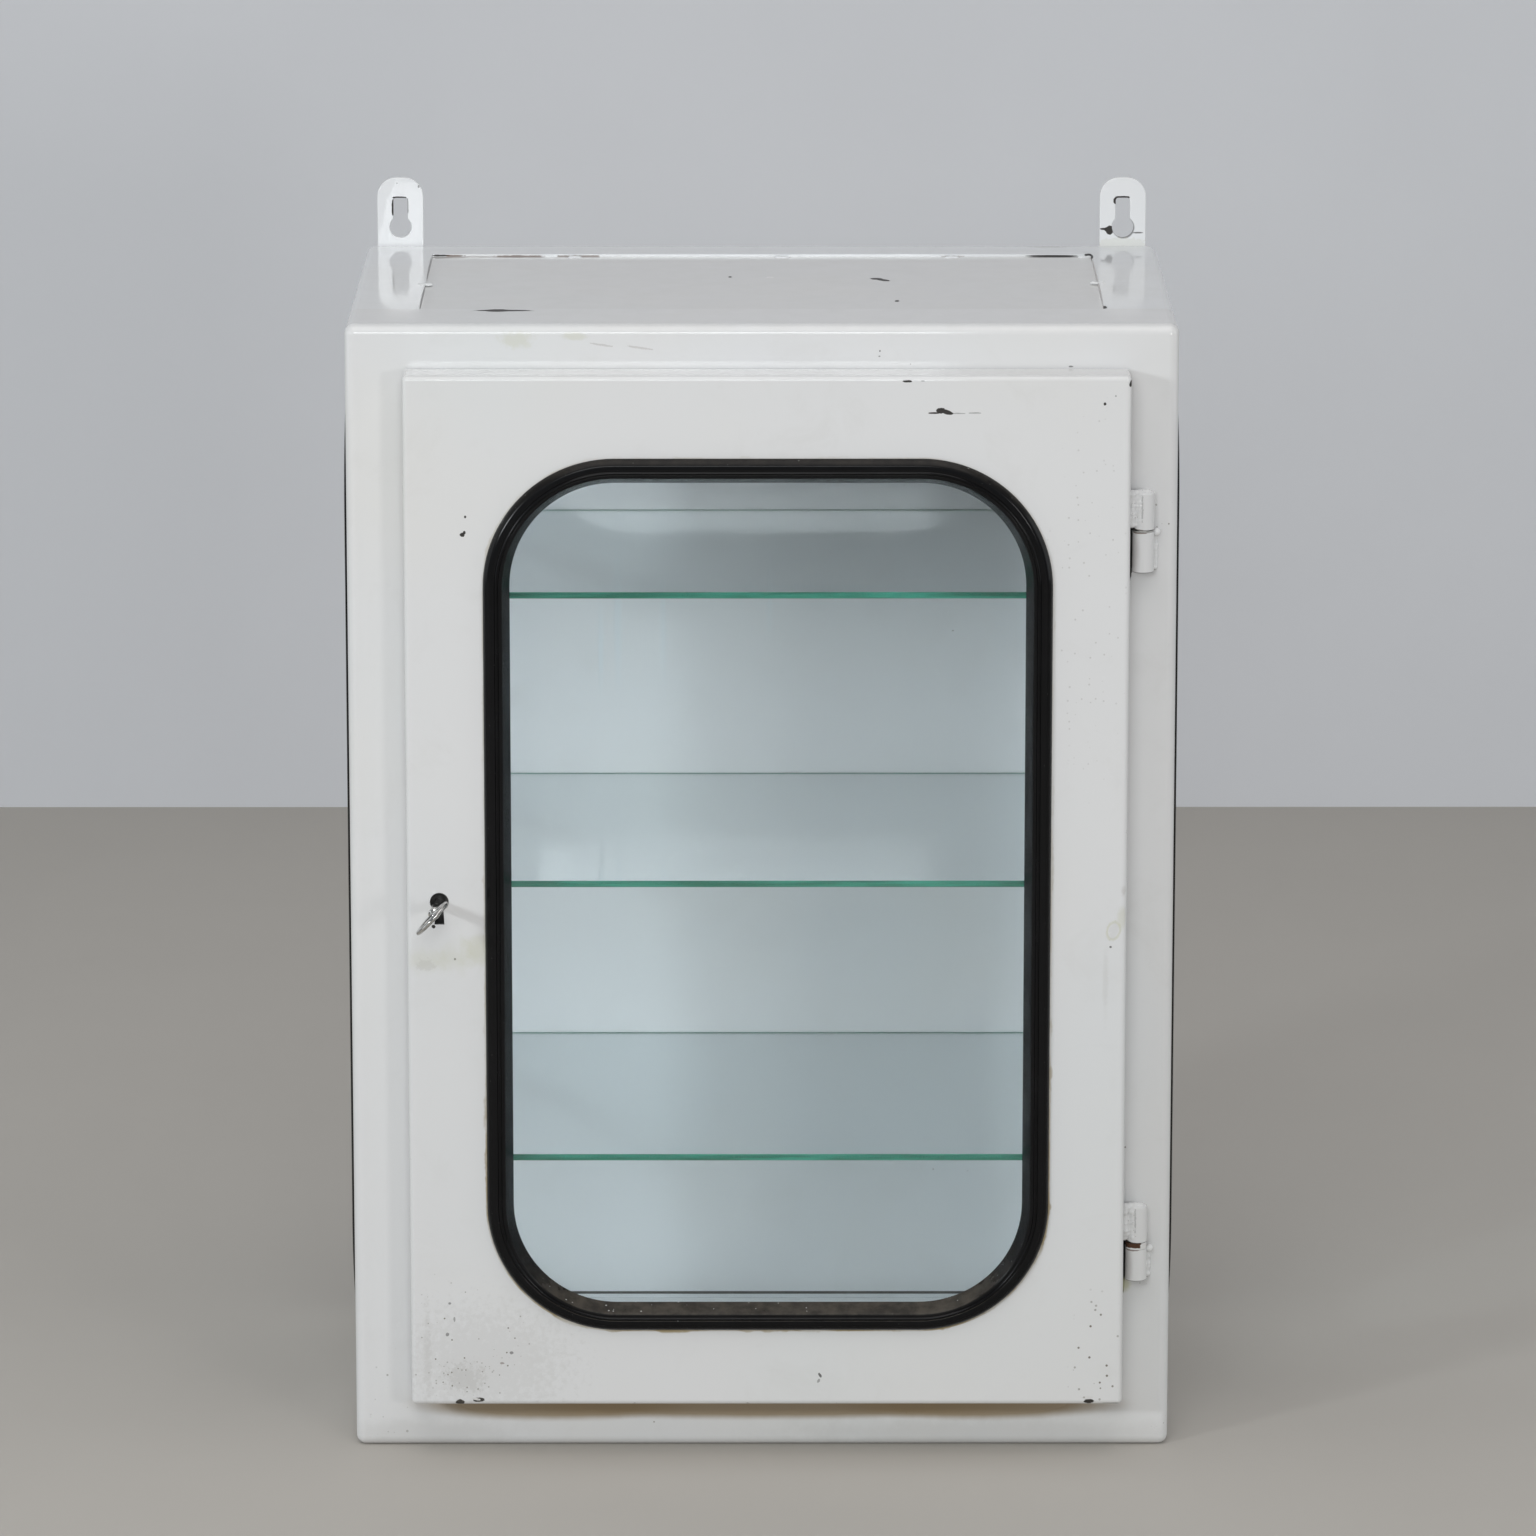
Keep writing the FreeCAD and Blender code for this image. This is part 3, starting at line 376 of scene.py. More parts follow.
@effect("Box edge", points="Low High", numbers="Width")
def box_edge(graph: Graph, point: Socket, low: Socket, high: Socket, width: Socket) -> list[Socket]:
    """How near a point is to any edge of a box, from 0 at the width to 1 on the edge."""
    near = graph.vector("MINIMUM", graph.vector("SUBTRACT", point, low), graph.vector("SUBTRACT", high, point))
    across, depth, height = graph.parts(near)
    lesser = graph.math("MINIMUM", across, depth)
    greater = graph.math("MAXIMUM", across, depth)
    second = graph.math("MAXIMUM", lesser, graph.math("MINIMUM", greater, height))
    return [graph.step(second, 0.0, width, 1.0, 0.0)]


@effect("Round frame", points="Middle Half", numbers="Radius", outputs="Distance")
def round_frame(graph: Graph, point: Socket, middle: Socket, half: Socket, radius: Socket) -> list[Socket]:
    """How far outside a rounded rectangle in the XZ plane a point lies."""
    away = graph.vector("ABSOLUTE", graph.vector("SUBTRACT", point, middle))
    past = graph.vector("MAXIMUM", graph.vector("SUBTRACT", away, half), ORIGIN)
    return [graph.minus(graph.vector("LENGTH", past, out="Value"), radius)]


@effect("Specks", numbers="Scale Radius Share")
def specks(graph: Graph, point: Socket, scale: Socket, radius: Socket, share: Socket) -> list[Socket]:
    """Scattered round specks in a share of the cells of a grid."""
    cells = graph.add("TexVoronoi", {"Vector": point, "Scale": scale, "Randomness": 1.0})
    tone = graph.add("SeparateColor", {0: cells.outputs["Color"]}).outputs
    kept = graph.math("LESS_THAN", tone[0], share)
    rim = graph.times(radius, graph.fuse(tone[1], 0.7, 0.3))
    inside = graph.step(cells.outputs["Distance"], graph.times(rim, 0.6), rim, 1.0, 0.0)
    return [graph.times(inside, kept)]


@effect("Settled dust", numbers="Scale Amount")
def settled_dust(graph: Graph, point: Socket, scale: Socket, amount: Socket) -> list[Socket]:
    """Dust that settles where the surface faces up."""
    facing = graph.parts(graph.add("NewGeometry").outputs["Normal"])[2]
    cloud = graph.clouds(point, (scale, 5.0, 0.6), 0.3, 0.7, 0.45, 1.0)
    return [graph.times(graph.times(graph.step(facing, 0.05, 0.75), cloud), amount)]


@effect("Paint tone", outputs="Warm Cool Soil")
def paint_tone(graph: Graph, point: Socket) -> list[Socket]:
    """Slow clouds that warm, cool and soil a painted surface."""
    return [
        graph.clouds(point, (3.1, 3.0, 0.6), 0.45, 0.7),
        graph.clouds(graph.stretch(point, 1.0, 1.0, 0.6), (4.3, 2.0), 0.45, 0.75),
        graph.clouds(point, (21.0, 6.0, 0.7, 0.6), 0.5, 0.8),
    ]


@effect("Scratches", numbers="Scale")
def scratches(graph: Graph, point: Socket, scale: Socket) -> list[Socket]:
    """Fine rubbed lines along two axes of the point."""
    lines = graph.noise(graph.stretch(point, 1.0, 0.03, 1.0), scale, 3.0, 0.7)
    cross = graph.noise(graph.stretch(point, 1.0, 1.0, 0.05), scale, 2.0, 0.6)
    return [graph.step(graph.math("MAXIMUM", lines, cross), 0.52, 0.8)]


class MarkKind(Enum):
    """What a mark is made of, or for the painted shade and painted shadow kinds the light it stands in for: its
    colour, how far it covers, its roughness and its depth in mm.
    """

    CHIP = ((0.03, 0.026, 0.023), 1.0, 0.5, 0.12)
    GLUE = ((0.56, 0.56, 0.36), 0.45, 0.3, 0.0)
    GRIME = ((0.36, 0.34, 0.30), 0.35, 0.4, 0.0)
    SPECKLE = ((0.13, 0.105, 0.07), 0.9, 0.5, 0.02)
    # Painted shadow: a brown band that stands in for the door's shadow on the frame and a brown floor's reflection in
    # it.
    SOOT = ((0.33, 0.245, 0.14), 0.9, 0.3, 0.0)
    # Painted shade: dark put into gaps, seams, crevices and under feet, where shade falls.
    SHADE = ((0.02, 0.018, 0.016), 0.95, 0.7, 0.0)
    RUST = ((0.13, 0.065, 0.03), 0.9, 0.7, 0.05)
    RUN = ((0.80, 0.88, 0.92), 0.5, 0.1, -0.25)
    PAINT = ((0.78, 0.775, 0.76), 1.0, 0.15, -0.1)


CHIP, GLUE, GRIME, SPECKLE, SOOT, SHADE, RUST, RUN, PAINT = MarkKind


@dataclass(frozen=True)
class Mark:
    """A chip, a stain, or a patch of painted shade or painted shadow, at one place of a painted piece."""

    kind: MarkKind
    middle: Triple
    reach: Triple
    rag: float = 0.9
    strength: float = 1.0
    tilt: Triple = ORIGIN
    soft: float = 0.08
    grain: float = 400.0
    hollow: float = 0.0

    def spot(self, graph: Graph, point: Socket, size: float, grain: float) -> Socket:
        """The mark's ragged patch.

        Args:
            graph: The material's tree.
            point: The surface's place.
            size: Its size, as a share of the mark's reach.
            grain: How fine its ragged rim is.

        Returns:
            The patch's mask.
        """
        tilt = [math.radians(part) for part in self.tilt]
        reach = metres(self.reach, size * FAR)
        return ragged_spot.place(graph, point, metres(self.middle), tilt, reach, grain, self.rag, self.soft)[0]

    def mask(self, graph: Graph, point: Socket) -> Socket:
        """How much of the mark a point of the surface has.

        Args:
            graph: The material's tree.
            point: The surface's place.

        Returns:
            The mask's socket.
        """
        if self.kind is SPECKLE:
            dots = specks.place(graph, point, self.grain, 0.28, 0.45)[0]
            mask = graph.times(self.spot(graph, point, 1.0, 60.0), dots)
        else:
            mask = self.spot(graph, point, 1.0, self.grain)
        if self.hollow:
            mask = graph.times(mask, graph.rest(self.spot(graph, point, self.hollow, self.grain)))
        return graph.times(mask, self.kind.value[1] * self.strength)


def upright(depth: float, thick: float, kind: MarkKind, across: float, height: float, wide: float, high: float,
            rag: float = 0.9, strength: float = 1.0, lean: float = 0.0, **more: float) -> Mark:
    """A mark on an upright sheet.

    Args:
        depth: Where the sheet's face lies.
        thick: How far the mark reaches before and behind it.
        kind: What it is made of.
        across: Its place across.
        height: Its place in height.
        wide: Half its width.
        high: Half its height.
        rag: How ragged its rim is.
        strength: How far it covers.
        lean: Its turn in the sheet, in degrees.
        more: Its softness, grain and hollow.

    Returns:
        The mark.
    """
    return Mark(kind, (across, depth, height), (wide, thick, high), rag, strength, (0.0, lean, 0.0), **more)


on_front = partial(upright, FRONT_FACE, 4.0)
by_hinge = partial(upright, FRONT_FACE, 3.0)
on_seam = partial(upright, 113.0, 2.5)
on_back = partial(upright, 148.0, 2.0)
on_door = partial(upright, DOOR_FACE, 2.0)
on_foot = partial(upright, DOOR_FACE + 0.5, 2.0)


@dataclass(frozen=True)
class GlueSeam:
    """Old glue pressed out in patches along the rubber of a window."""

    middle: Triple
    half: Triple
    radius: float
    width: float = 2.6

    def mask(self, graph: Graph, point: Socket) -> Socket:
        """How much glue a point of the surface has, most of it along the foot.

        Args:
            graph: The material's tree.
            point: The surface's place.

        Returns:
            The mask's socket.
        """
        away = round_frame.place(graph, point, metres(self.middle), metres(self.half), self.radius * MM)[0]
        patch = graph.clouds(point, (26.0, 4.0, 0.65), 0.42, 0.62, 0.4, 1.0)
        reach = graph.times(graph.clouds(point, (55.0, 3.0, 0.6), 0.5, 0.7, 0.45, 1.0), self.width * MM)
        near = graph.step(away, graph.times(reach, 0.3), reach, 1.0, 0.0)
        low = graph.step(graph.parts(point)[2], 0.10, 0.40, 0.9, 0.3)
        return graph.times(graph.times(near, patch), low)


@dataclass
class Coat:
    """Colour, roughness and height of a surface while layers are laid on it."""

    graph: Graph
    colour: object
    rough: object
    height: Socket

    def lay(self, mask: Socket, colour: Triple, rough: float, depth: float = 0.0) -> None:
        """Lays one layer on.

        Args:
            mask: Where the layer is.
            colour: Its colour.
            rough: Its roughness.
            depth: How deep it cuts in, in millimetres.
        """
        graph = self.graph
        self.colour = graph.blend(mask, self.colour, colour)
        self.rough = graph.fuse(mask, rough, graph.times(self.rough, graph.rest(mask)))
        if depth:
            self.height = graph.fuse(mask, -depth * MM, self.height)

    def mark(self, marks: Sequence[Mark], point: Socket) -> None:
        """Lays chips, stains, painted shade and painted shadow on.

        Args:
            marks: The marks.
            point: The surface's place.
        """
        for mark in marks:
            colour, _, rough, depth = mark.kind.value
            self.lay(mark.mask(self.graph, point), colour, rough, depth)


@dataclass(frozen=True)
class Finish:
    """A material with a name."""

    name: str

    def material(self) -> bpy.types.Material:
        """The material, made the first time it is asked for."""
        made = bpy.data.materials.get(self.name)
        if made is None:
            made = bpy.data.materials.new(self.name)
            made.use_nodes = True
            made.node_tree.nodes.clear()
            graph = Graph(made.node_tree)
            graph.add("OutputMaterial", {"Surface": self.surface(graph)})
        return made

    def surface(self, graph: Graph) -> Socket:
        """The shader's socket; each kind of finish draws its own."""
        raise NotImplementedError

    def cover(self, *nodes: str) -> None:
        """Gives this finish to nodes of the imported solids.

        Args:
            nodes: The nodes' names.
        """
        for node in nodes:
            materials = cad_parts[node].data.materials
            materials.clear()
            materials.append(self.material())
            log.info("dressed %s in %s", node, self.name)


@dataclass(frozen=True)
class Enamel(Finish):
    """Glossy white stove enamel with its age: waves, clouds, chips, stains and worn edges, with painted shade and
    painted shadow among its marks.
    """

    colour: Triple = (0.80, 0.802, 0.803)
    gloss: float = 0.055
    peel: float = 0.0045
    sag: float = 0.2
    brush: float = 0.018
    wear: float = 0.0
    worn_width: float = 2.2
    low: Triple = ORIGIN
    high: Triple = ORIGIN
    specks: float = 0.03
    dust: float = 0.12
    marks: tuple[Mark, ...] = ()
    seam: GlueSeam | None = None

    def surface(self, graph: Graph) -> Socket:
        """Paint over steel, with every mark mixed into colour, roughness and height."""
        yellowed, bluish, soiled = (0.80, 0.785, 0.745), (0.755, 0.80, 0.815), (0.50, 0.48, 0.43)
        dusty, speck, old_glue, bare = (0.42, 0.40, 0.36), (0.17, 0.13, 0.10), (0.34, 0.25, 0.10), (0.10, 0.085, 0.075)
        point = graph.here()
        warm, cool, soil = paint_tone.place(graph, point)
        paint = graph.blend(graph.times(warm, 0.35), self.colour, yellowed)
        paint = graph.blend(graph.times(cool, 0.35), paint, bluish)
        paint = graph.blend(graph.times(soil, 0.10), paint, soiled)
        height = enamel_skin.place(graph, point, *metres((self.peel, self.sag, self.brush)))[0]
        coat = Coat(graph, paint, graph.fuse(soil, 0.05, self.gloss), height)
        coat.lay(settled_dust.place(graph, point, 60.0, self.dust)[0], dusty, 0.5)
        coat.lay(graph.times(specks.place(graph, point, 90.0, 0.09, self.specks)[0], 0.75), speck, 0.4)
        if self.seam:
            coat.lay(self.seam.mask(graph, point), old_glue, 0.4)
        if self.wear:
            edge = box_edge.place(graph, point, metres(self.low), metres(self.high), self.worn_width * MM)[0]
            patch = graph.clouds(point, (75.0, 6.0, 0.75), 0.70 - self.wear, 0.73 - self.wear)
            coat.lay(graph.step(graph.times(edge, patch), 0.35, 0.5), bare, 0.55, 0.06)
        coat.mark(self.marks, point)
        return graph.skin(coat.colour, coat.rough, coat.height)


@dataclass(frozen=True)
class Rubber(Finish):
    """Black rubber with a rubbed bloom, settled dust and a few flecks of paint."""

    colour: Triple = (0.005, 0.005, 0.0055)
    dust: float = 0.8
    flecks: float = 0.5

    def surface(self, graph: Graph) -> Socket:
        """Dark rubber whose upward slopes are greyed."""
        rubbed, dusty, fleck = (0.008, 0.008, 0.009), (0.105, 0.090, 0.072), (0.55, 0.55, 0.52)
        point = graph.here()
        bloom = graph.clouds(point, (35.0, 5.0, 0.65), 0.4, 0.75)
        lying = settled_dust.place(graph, point, 130.0, self.dust)[0]
        low = graph.step(graph.parts(point)[2], 0.097, 0.125, 1.0, 0.25)
        dust = graph.times(graph.math("POWER", lying, 1.2), low)
        colour = graph.blend(graph.times(bloom, 0.5), self.colour, rubbed)
        colour = graph.blend(dust, colour, dusty)
        flecks = specks.place(graph, point, 230.0, 0.15, self.flecks)[0]
        thick = graph.step(dust, 0.05, 0.25, 0.08, 1.0)
        colour = graph.blend(graph.times(flecks, thick), colour, fleck)
        rough = graph.fuse(bloom, 0.08, graph.fuse(dust, 0.4, 0.15))
        grain = graph.times(graph.noise(point, 900.0, 2.0), 0.012 * MM)
        height = graph.fuse(graph.noise(point, 60.0, 2.0), 0.10 * MM, grain)
        return graph.skin(colour, rough, height, {"Specular IOR Level": 0.17})


@dataclass(frozen=True)
class Glass(Finish):
    """Clear float glass. Lamps shine straight through it, tinted by the glass."""

    colour: Triple = (0.95, 0.98, 0.99)
    shadow: Triple = (0.86, 0.89, 0.895)

    def surface(self, graph: Graph) -> Socket:
        """Glass with faint smears, and for rays from lamps a plain tint."""
        point = graph.here()
        smear = graph.clouds(graph.stretch(point, 1.0, 1.0, 0.3), (16.0, 5.0, 0.6, 0.8), 0.5, 0.8)
        waves = graph.times(graph.noise(point, 9.0, 1.0), 0.06 * MM)
        pane = graph.skin(self.colour, graph.times(smear, 0.02), waves, {"Transmission Weight": 1.0})
        return graph.clear_where(graph.add("LightPath").outputs["Is Shadow Ray"], pane, self.shadow)


@dataclass(frozen=True)
class GlassEdge(Finish):
    """Ground edge of a glass shelf, green with the depth of glass behind it."""

    dark: Triple = (0.006, 0.125, 0.078)
    light: Triple = (0.03, 0.26, 0.18)

    def surface(self, graph: Graph) -> Socket:
        """Green that drifts along the edge, with fine marks of grinding."""
        point = graph.here()
        drift = graph.clouds(graph.stretch(point, 1.0, 1.0, 22.0), (14.0, 4.0, 0.6), 0.35, 0.7)
        ground = graph.noise(graph.stretch(point, 0.2, 0.2, 1.0), 1800.0, 3.0, 0.7)
        colour = graph.blend(drift, self.dark, self.light)
        return graph.skin(colour, graph.fuse(ground, 0.2, 0.12), graph.times(ground, 0.02 * MM))


@dataclass(frozen=True)
class Metal(Finish):
    """Bare or plated metal with rubbed lines, dull clouds and spots of rust."""

    colour: Triple = (0.5, 0.5, 0.51)
    gloss: float = 0.35
    dull: float = 0.2
    rust: float = 0.0
    lines: float = 700.0
    tarnish: float = 0.55
    marks: tuple[Mark, ...] = ()

    def surface(self, graph: Graph) -> Socket:
        """Metal whose rusted places are brown, rough and not metallic."""
        dark_rust, light_rust = (0.045, 0.018, 0.008), (0.12, 0.05, 0.02)
        point = graph.here()
        rubbed = scratches.place(graph, point, self.lines)[0]
        cloud = graph.clouds(point, (120.0, 5.0, 0.6), 0.35, 0.75)
        colour = graph.blend(graph.times(cloud, 0.7), self.colour, [part * self.tarnish for part in self.colour])
        rough = graph.fuse(cloud, self.dull, graph.fuse(rubbed, 0.12, self.gloss))
        spots = graph.clouds(point, (260.0, 6.0, 0.75), 0.78 - self.rust, 0.84 - self.rust)
        tint = graph.blend(graph.noise(point, 600.0, 4.0), dark_rust, light_rust)
        metal = graph.rest(spots)
        for mark in self.marks:
            metal = graph.times(metal, graph.rest(mark.mask(graph, point)))
        height = graph.fuse(spots, 0.04 * MM, graph.times(rubbed, -0.004 * MM))
        rough = graph.math("MAXIMUM", rough, graph.times(spots, 0.8))
        coat = Coat(graph, graph.blend(spots, colour, tint), rough, height)
        coat.mark(self.marks, point)
        return graph.skin(coat.colour, coat.rough, coat.height, {"Metallic": metal})


@dataclass(frozen=True)
class Plaster(Finish):
    """Matt studio surface of the floor and the wall, clear when seen from behind."""

    colour: Triple = (0.6, 0.6, 0.6)
    shade: float = 0.965

    def surface(self, graph: Graph) -> Socket:
        """Matt paint with hardly visible clouds on the side that faces the cabinet."""
        point = graph.here()
        cloud = graph.clouds(point, (1.7, 4.0, 0.6), 0.3, 0.75)
        height = graph.times(graph.noise(point, 220.0, 4.0), 0.05 * MM)
        colour = graph.blend(cloud, self.colour, [part * self.shade for part in self.colour])
        behind = graph.add("NewGeometry").outputs["Backfacing"]
        return graph.clear_where(behind, graph.skin(colour, 0.85, height))


class Shape:
    """A mesh shaped with bmesh operators, in millimetres until it is finished."""

    def __init__(self) -> None:
        """Starts with an empty mesh."""
        self.mesh = bmesh.new()

    def wire(self, points: Sequence[Sequence[float]], closed: bool = True) -> list[BMEdge]:
        """Joins a few points by edges.

        Args:
            points: The corners, in order.
            closed: Whether the last one is joined to the first.

        Returns:
            The edges.
        """
        corners = [self.mesh.verts.new(point) for point in points]
        pairs = zip(corners, corners[1:] + corners[:1]) if closed else zip(corners, corners[1:])
        return [self.mesh.edges.new(pair) for pair in pairs]

    def bevel(self, parts: Sequence[object], radius: float, segments: int, affect: str) -> None:
        """Rounds corners or edges.

        Args:
            parts: What is rounded.
            radius: How far the round reaches from it.
            segments: How many faces or edges that makes.
            affect: VERTICES or EDGES.
        """
        bmesh.ops.bevel(self.mesh, geom=list(parts), offset=radius, offset_type="OFFSET", segments=segments,
                        profile=0.5, affect=affect, material=-1, clamp_overlap=affect == "EDGES")

    def spin(self, parts: Sequence[object], centre: Sequence[float], axis: Triple, angle: float, steps: int,
             merge: bool = False) -> list:
        """Turns vertices or edges about an axis, and draws a band behind them.

        Args:
            parts: What is turned.
            centre: A point of the axis.
            axis: The axis, right-handed.
            angle: How far they turn, in radians.
            steps: How many faces or edges that makes.
            merge: Whether the far end is joined to the start.

        Returns:
            The parts at the far end.
        """
        return bmesh.ops.spin(self.mesh, geom=list(parts), cent=centre, axis=axis, dvec=ORIGIN, angle=angle,
                              steps=steps, use_merge=merge)["geom_last"]

    def arc(self, start: Triple, centre: Triple, axis: Triple, angle: float, steps: int) -> tuple[BMVert, BMVert]:
        """Draws an arc of edges.

        Args:
            start: Where it begins.
            centre: Its middle.
            axis: Its axis, right-handed.
            angle: How far it goes round, in radians.
            steps: Its number of edges.

        Returns:
            Its two ends.
        """
        first = self.mesh.verts.new(start)
        return first, only(BMVert, self.spin([first], centre, axis, angle, steps))[0]

    def shift(self, parts: Sequence[object], offset: Triple) -> None:
        """Moves the vertices among the parts that an operator made."""
        bmesh.ops.translate(self.mesh, verts=only(BMVert, parts), vec=offset)

    def push(self, edges: Sequence[BMEdge], offset: Triple) -> list[BMEdge]:
        """Draws edges out into a band of faces.

        Args:
            edges: The edges to draw out.
            offset: How far and which way.

        Returns:
            The edges at the far end.
        """
        made = bmesh.ops.extrude_edge_only(self.mesh, edges=list(edges))["geom"]
        self.shift(made, offset)
        return only(BMEdge, made)

    def swing(self, edges: Sequence[BMEdge], centre: Triple, axis: Triple, angle: float, steps: int,
              merge: bool = False) -> list[BMEdge]:
        """Turns edges about an axis into a curved band of faces; the arguments are those of spin.

        Returns:
            The edges at the far end.
        """
        ends = {corner for edge in edges for corner in edge.verts}
        return only(BMEdge, self.spin([*ends, *edges], centre, axis, angle, steps, merge))

    def lathe(self, edges: Sequence[BMEdge], centre: Triple, axis: Triple, steps: int = 40) -> None:
        """Turns a half profile once round an axis.

        Args:
            edges: The profile.
            centre: A point of the axis.
            axis: The axis.
            steps: Number of faces round it.
        """
        self.swing(edges, centre, axis, math.tau, steps, merge=True)

    def fill(self, edges: Sequence[BMEdge]) -> list[BMFace]:
        """Fills one loop, or the space between loops in one plane.

        Args:
            edges: The edges of all the loops.

        Returns:
            The faces made.
        """
        made = bmesh.ops.triangle_fill(self.mesh, use_beauty=True, use_dissolve=False, edges=list(edges))["geom"]
        return only(BMFace, made)

    def thicken(self, faces: Sequence[BMFace], offset: Triple) -> None:
        """Makes a plate of flat faces.

        Args:
            faces: The faces of one side.
            offset: The way to the other side.
        """
        self.shift(bmesh.ops.extrude_face_region(self.mesh, geom=list(faces), use_keep_orig=True)["geom"], offset)

    def block(self, low: Vector, high: Vector) -> None:
        """Adds a box between its lowest and its highest corner."""
        place = Matrix.Translation((low + high) / 2) @ Matrix.Diagonal((*(high - low), 1.0))
        bmesh.ops.create_cube(self.mesh, size=1.0, matrix=place)

    def lump(self, middle: Triple, radii: Triple) -> None:
        """Adds a rounded lump of metal.

        Args:
            middle: Its middle.
            radii: Its half sizes.
        """
        place = Matrix.Translation(middle) @ Matrix.Diagonal((*radii, 1.0))
        bmesh.ops.create_icosphere(self.mesh, subdivisions=3, radius=1.0, matrix=place)

    def sharp_edges(self, angle: float) -> list[BMEdge]:
        """Joins what lies on each other and finds the edges that turn by more than an angle, in degrees."""
        bmesh.ops.remove_doubles(self.mesh, verts=self.mesh.verts, dist=MERGE)
        bmesh.ops.recalc_face_normals(self.mesh, faces=self.mesh.faces)
        limit = math.radians(angle)
        return [edge for edge in self.mesh.edges if len(edge.link_faces) == 2 and edge.calc_face_angle() > limit]

    def soften(self, radius: float, segments: int = 3, angle: float = 35.0) -> None:
        """Rounds the edges that turn by more than an angle.

        Args:
            radius: How far the round reaches from the edge.
            segments: Its number of faces.
            angle: The least turn, in degrees.
        """
        self.bevel(self.sharp_edges(angle), radius, segments, "EDGES")

    def move(self, matrix: Matrix) -> None:
        """Moves, turns or stretches the whole mesh."""
        bmesh.ops.transform(self.mesh, matrix=matrix, verts=self.mesh.verts)

    def data(self, name: str) -> bpy.types.Mesh:
        """Makes a mesh of the shape, which is spent by it."""
        data = bpy.data.meshes.new(name)
        self.mesh.to_mesh(data)
        self.mesh.free()
        return data

    def finish(self, name: str, body: Body, slot: Slot, *finishes: Finish, replaces: Sequence[str] = (),
               pick: Callable[[BMFace], int] | None = None, sharp: float = 38.0,
               weighted: bool = True) -> bpy.types.Object:
        """Makes the piece in metres, dresses it and lets it ride.

        Args:
            name: The piece's name.
            body: The body that carries it.
            slot: Not used.
            finishes: Its materials.
            replaces: The nodes that it stands for.
            pick: Gives each face the number of its material.
            sharp: Edges that turn more than this many degrees stay crisp.
            weighted: Whether large faces hold their flat shading beside small rounds.

        Returns:
            The piece.
        """
        for edge in self.sharp_edges(sharp):
            edge.smooth = False
        for face in self.mesh.faces:
            face.smooth = True
            face.material_index = pick(face) if pick else 0
        self.move(Matrix.Scale(MM, 4))
        piece = add_object(name, self.data(name))
        for finish in finishes:
            piece.data.materials.append(finish.material())
        if weighted:
            piece.modifiers.new("Weighted normals", "WEIGHTED_NORMAL").keep_sharp = True
        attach(piece, body.value)
        if replaces:
            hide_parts(*replaces)
        log.info("built %s: %d faces", name, len(piece.data.polygons))
        return piece

    def melt(self, voxel: float, *named: object) -> None:
        """Finishes overlapping lumps as one melted skin.

        Args:
            voxel: How fine the skin is, in millimetres.
            named: The piece's name, body, slot and finish.
        """
        piece = self.finish(*named, weighted=False)
        remesh = piece.modifiers.new("Melted", "REMESH")
        remesh.mode, remesh.voxel_size, remesh.use_smooth_shade = "VOXEL", voxel * MM, True
        smooth = piece.modifiers.new("Flow", "SMOOTH")
        smooth.factor, smooth.iterations = 0.5, 4


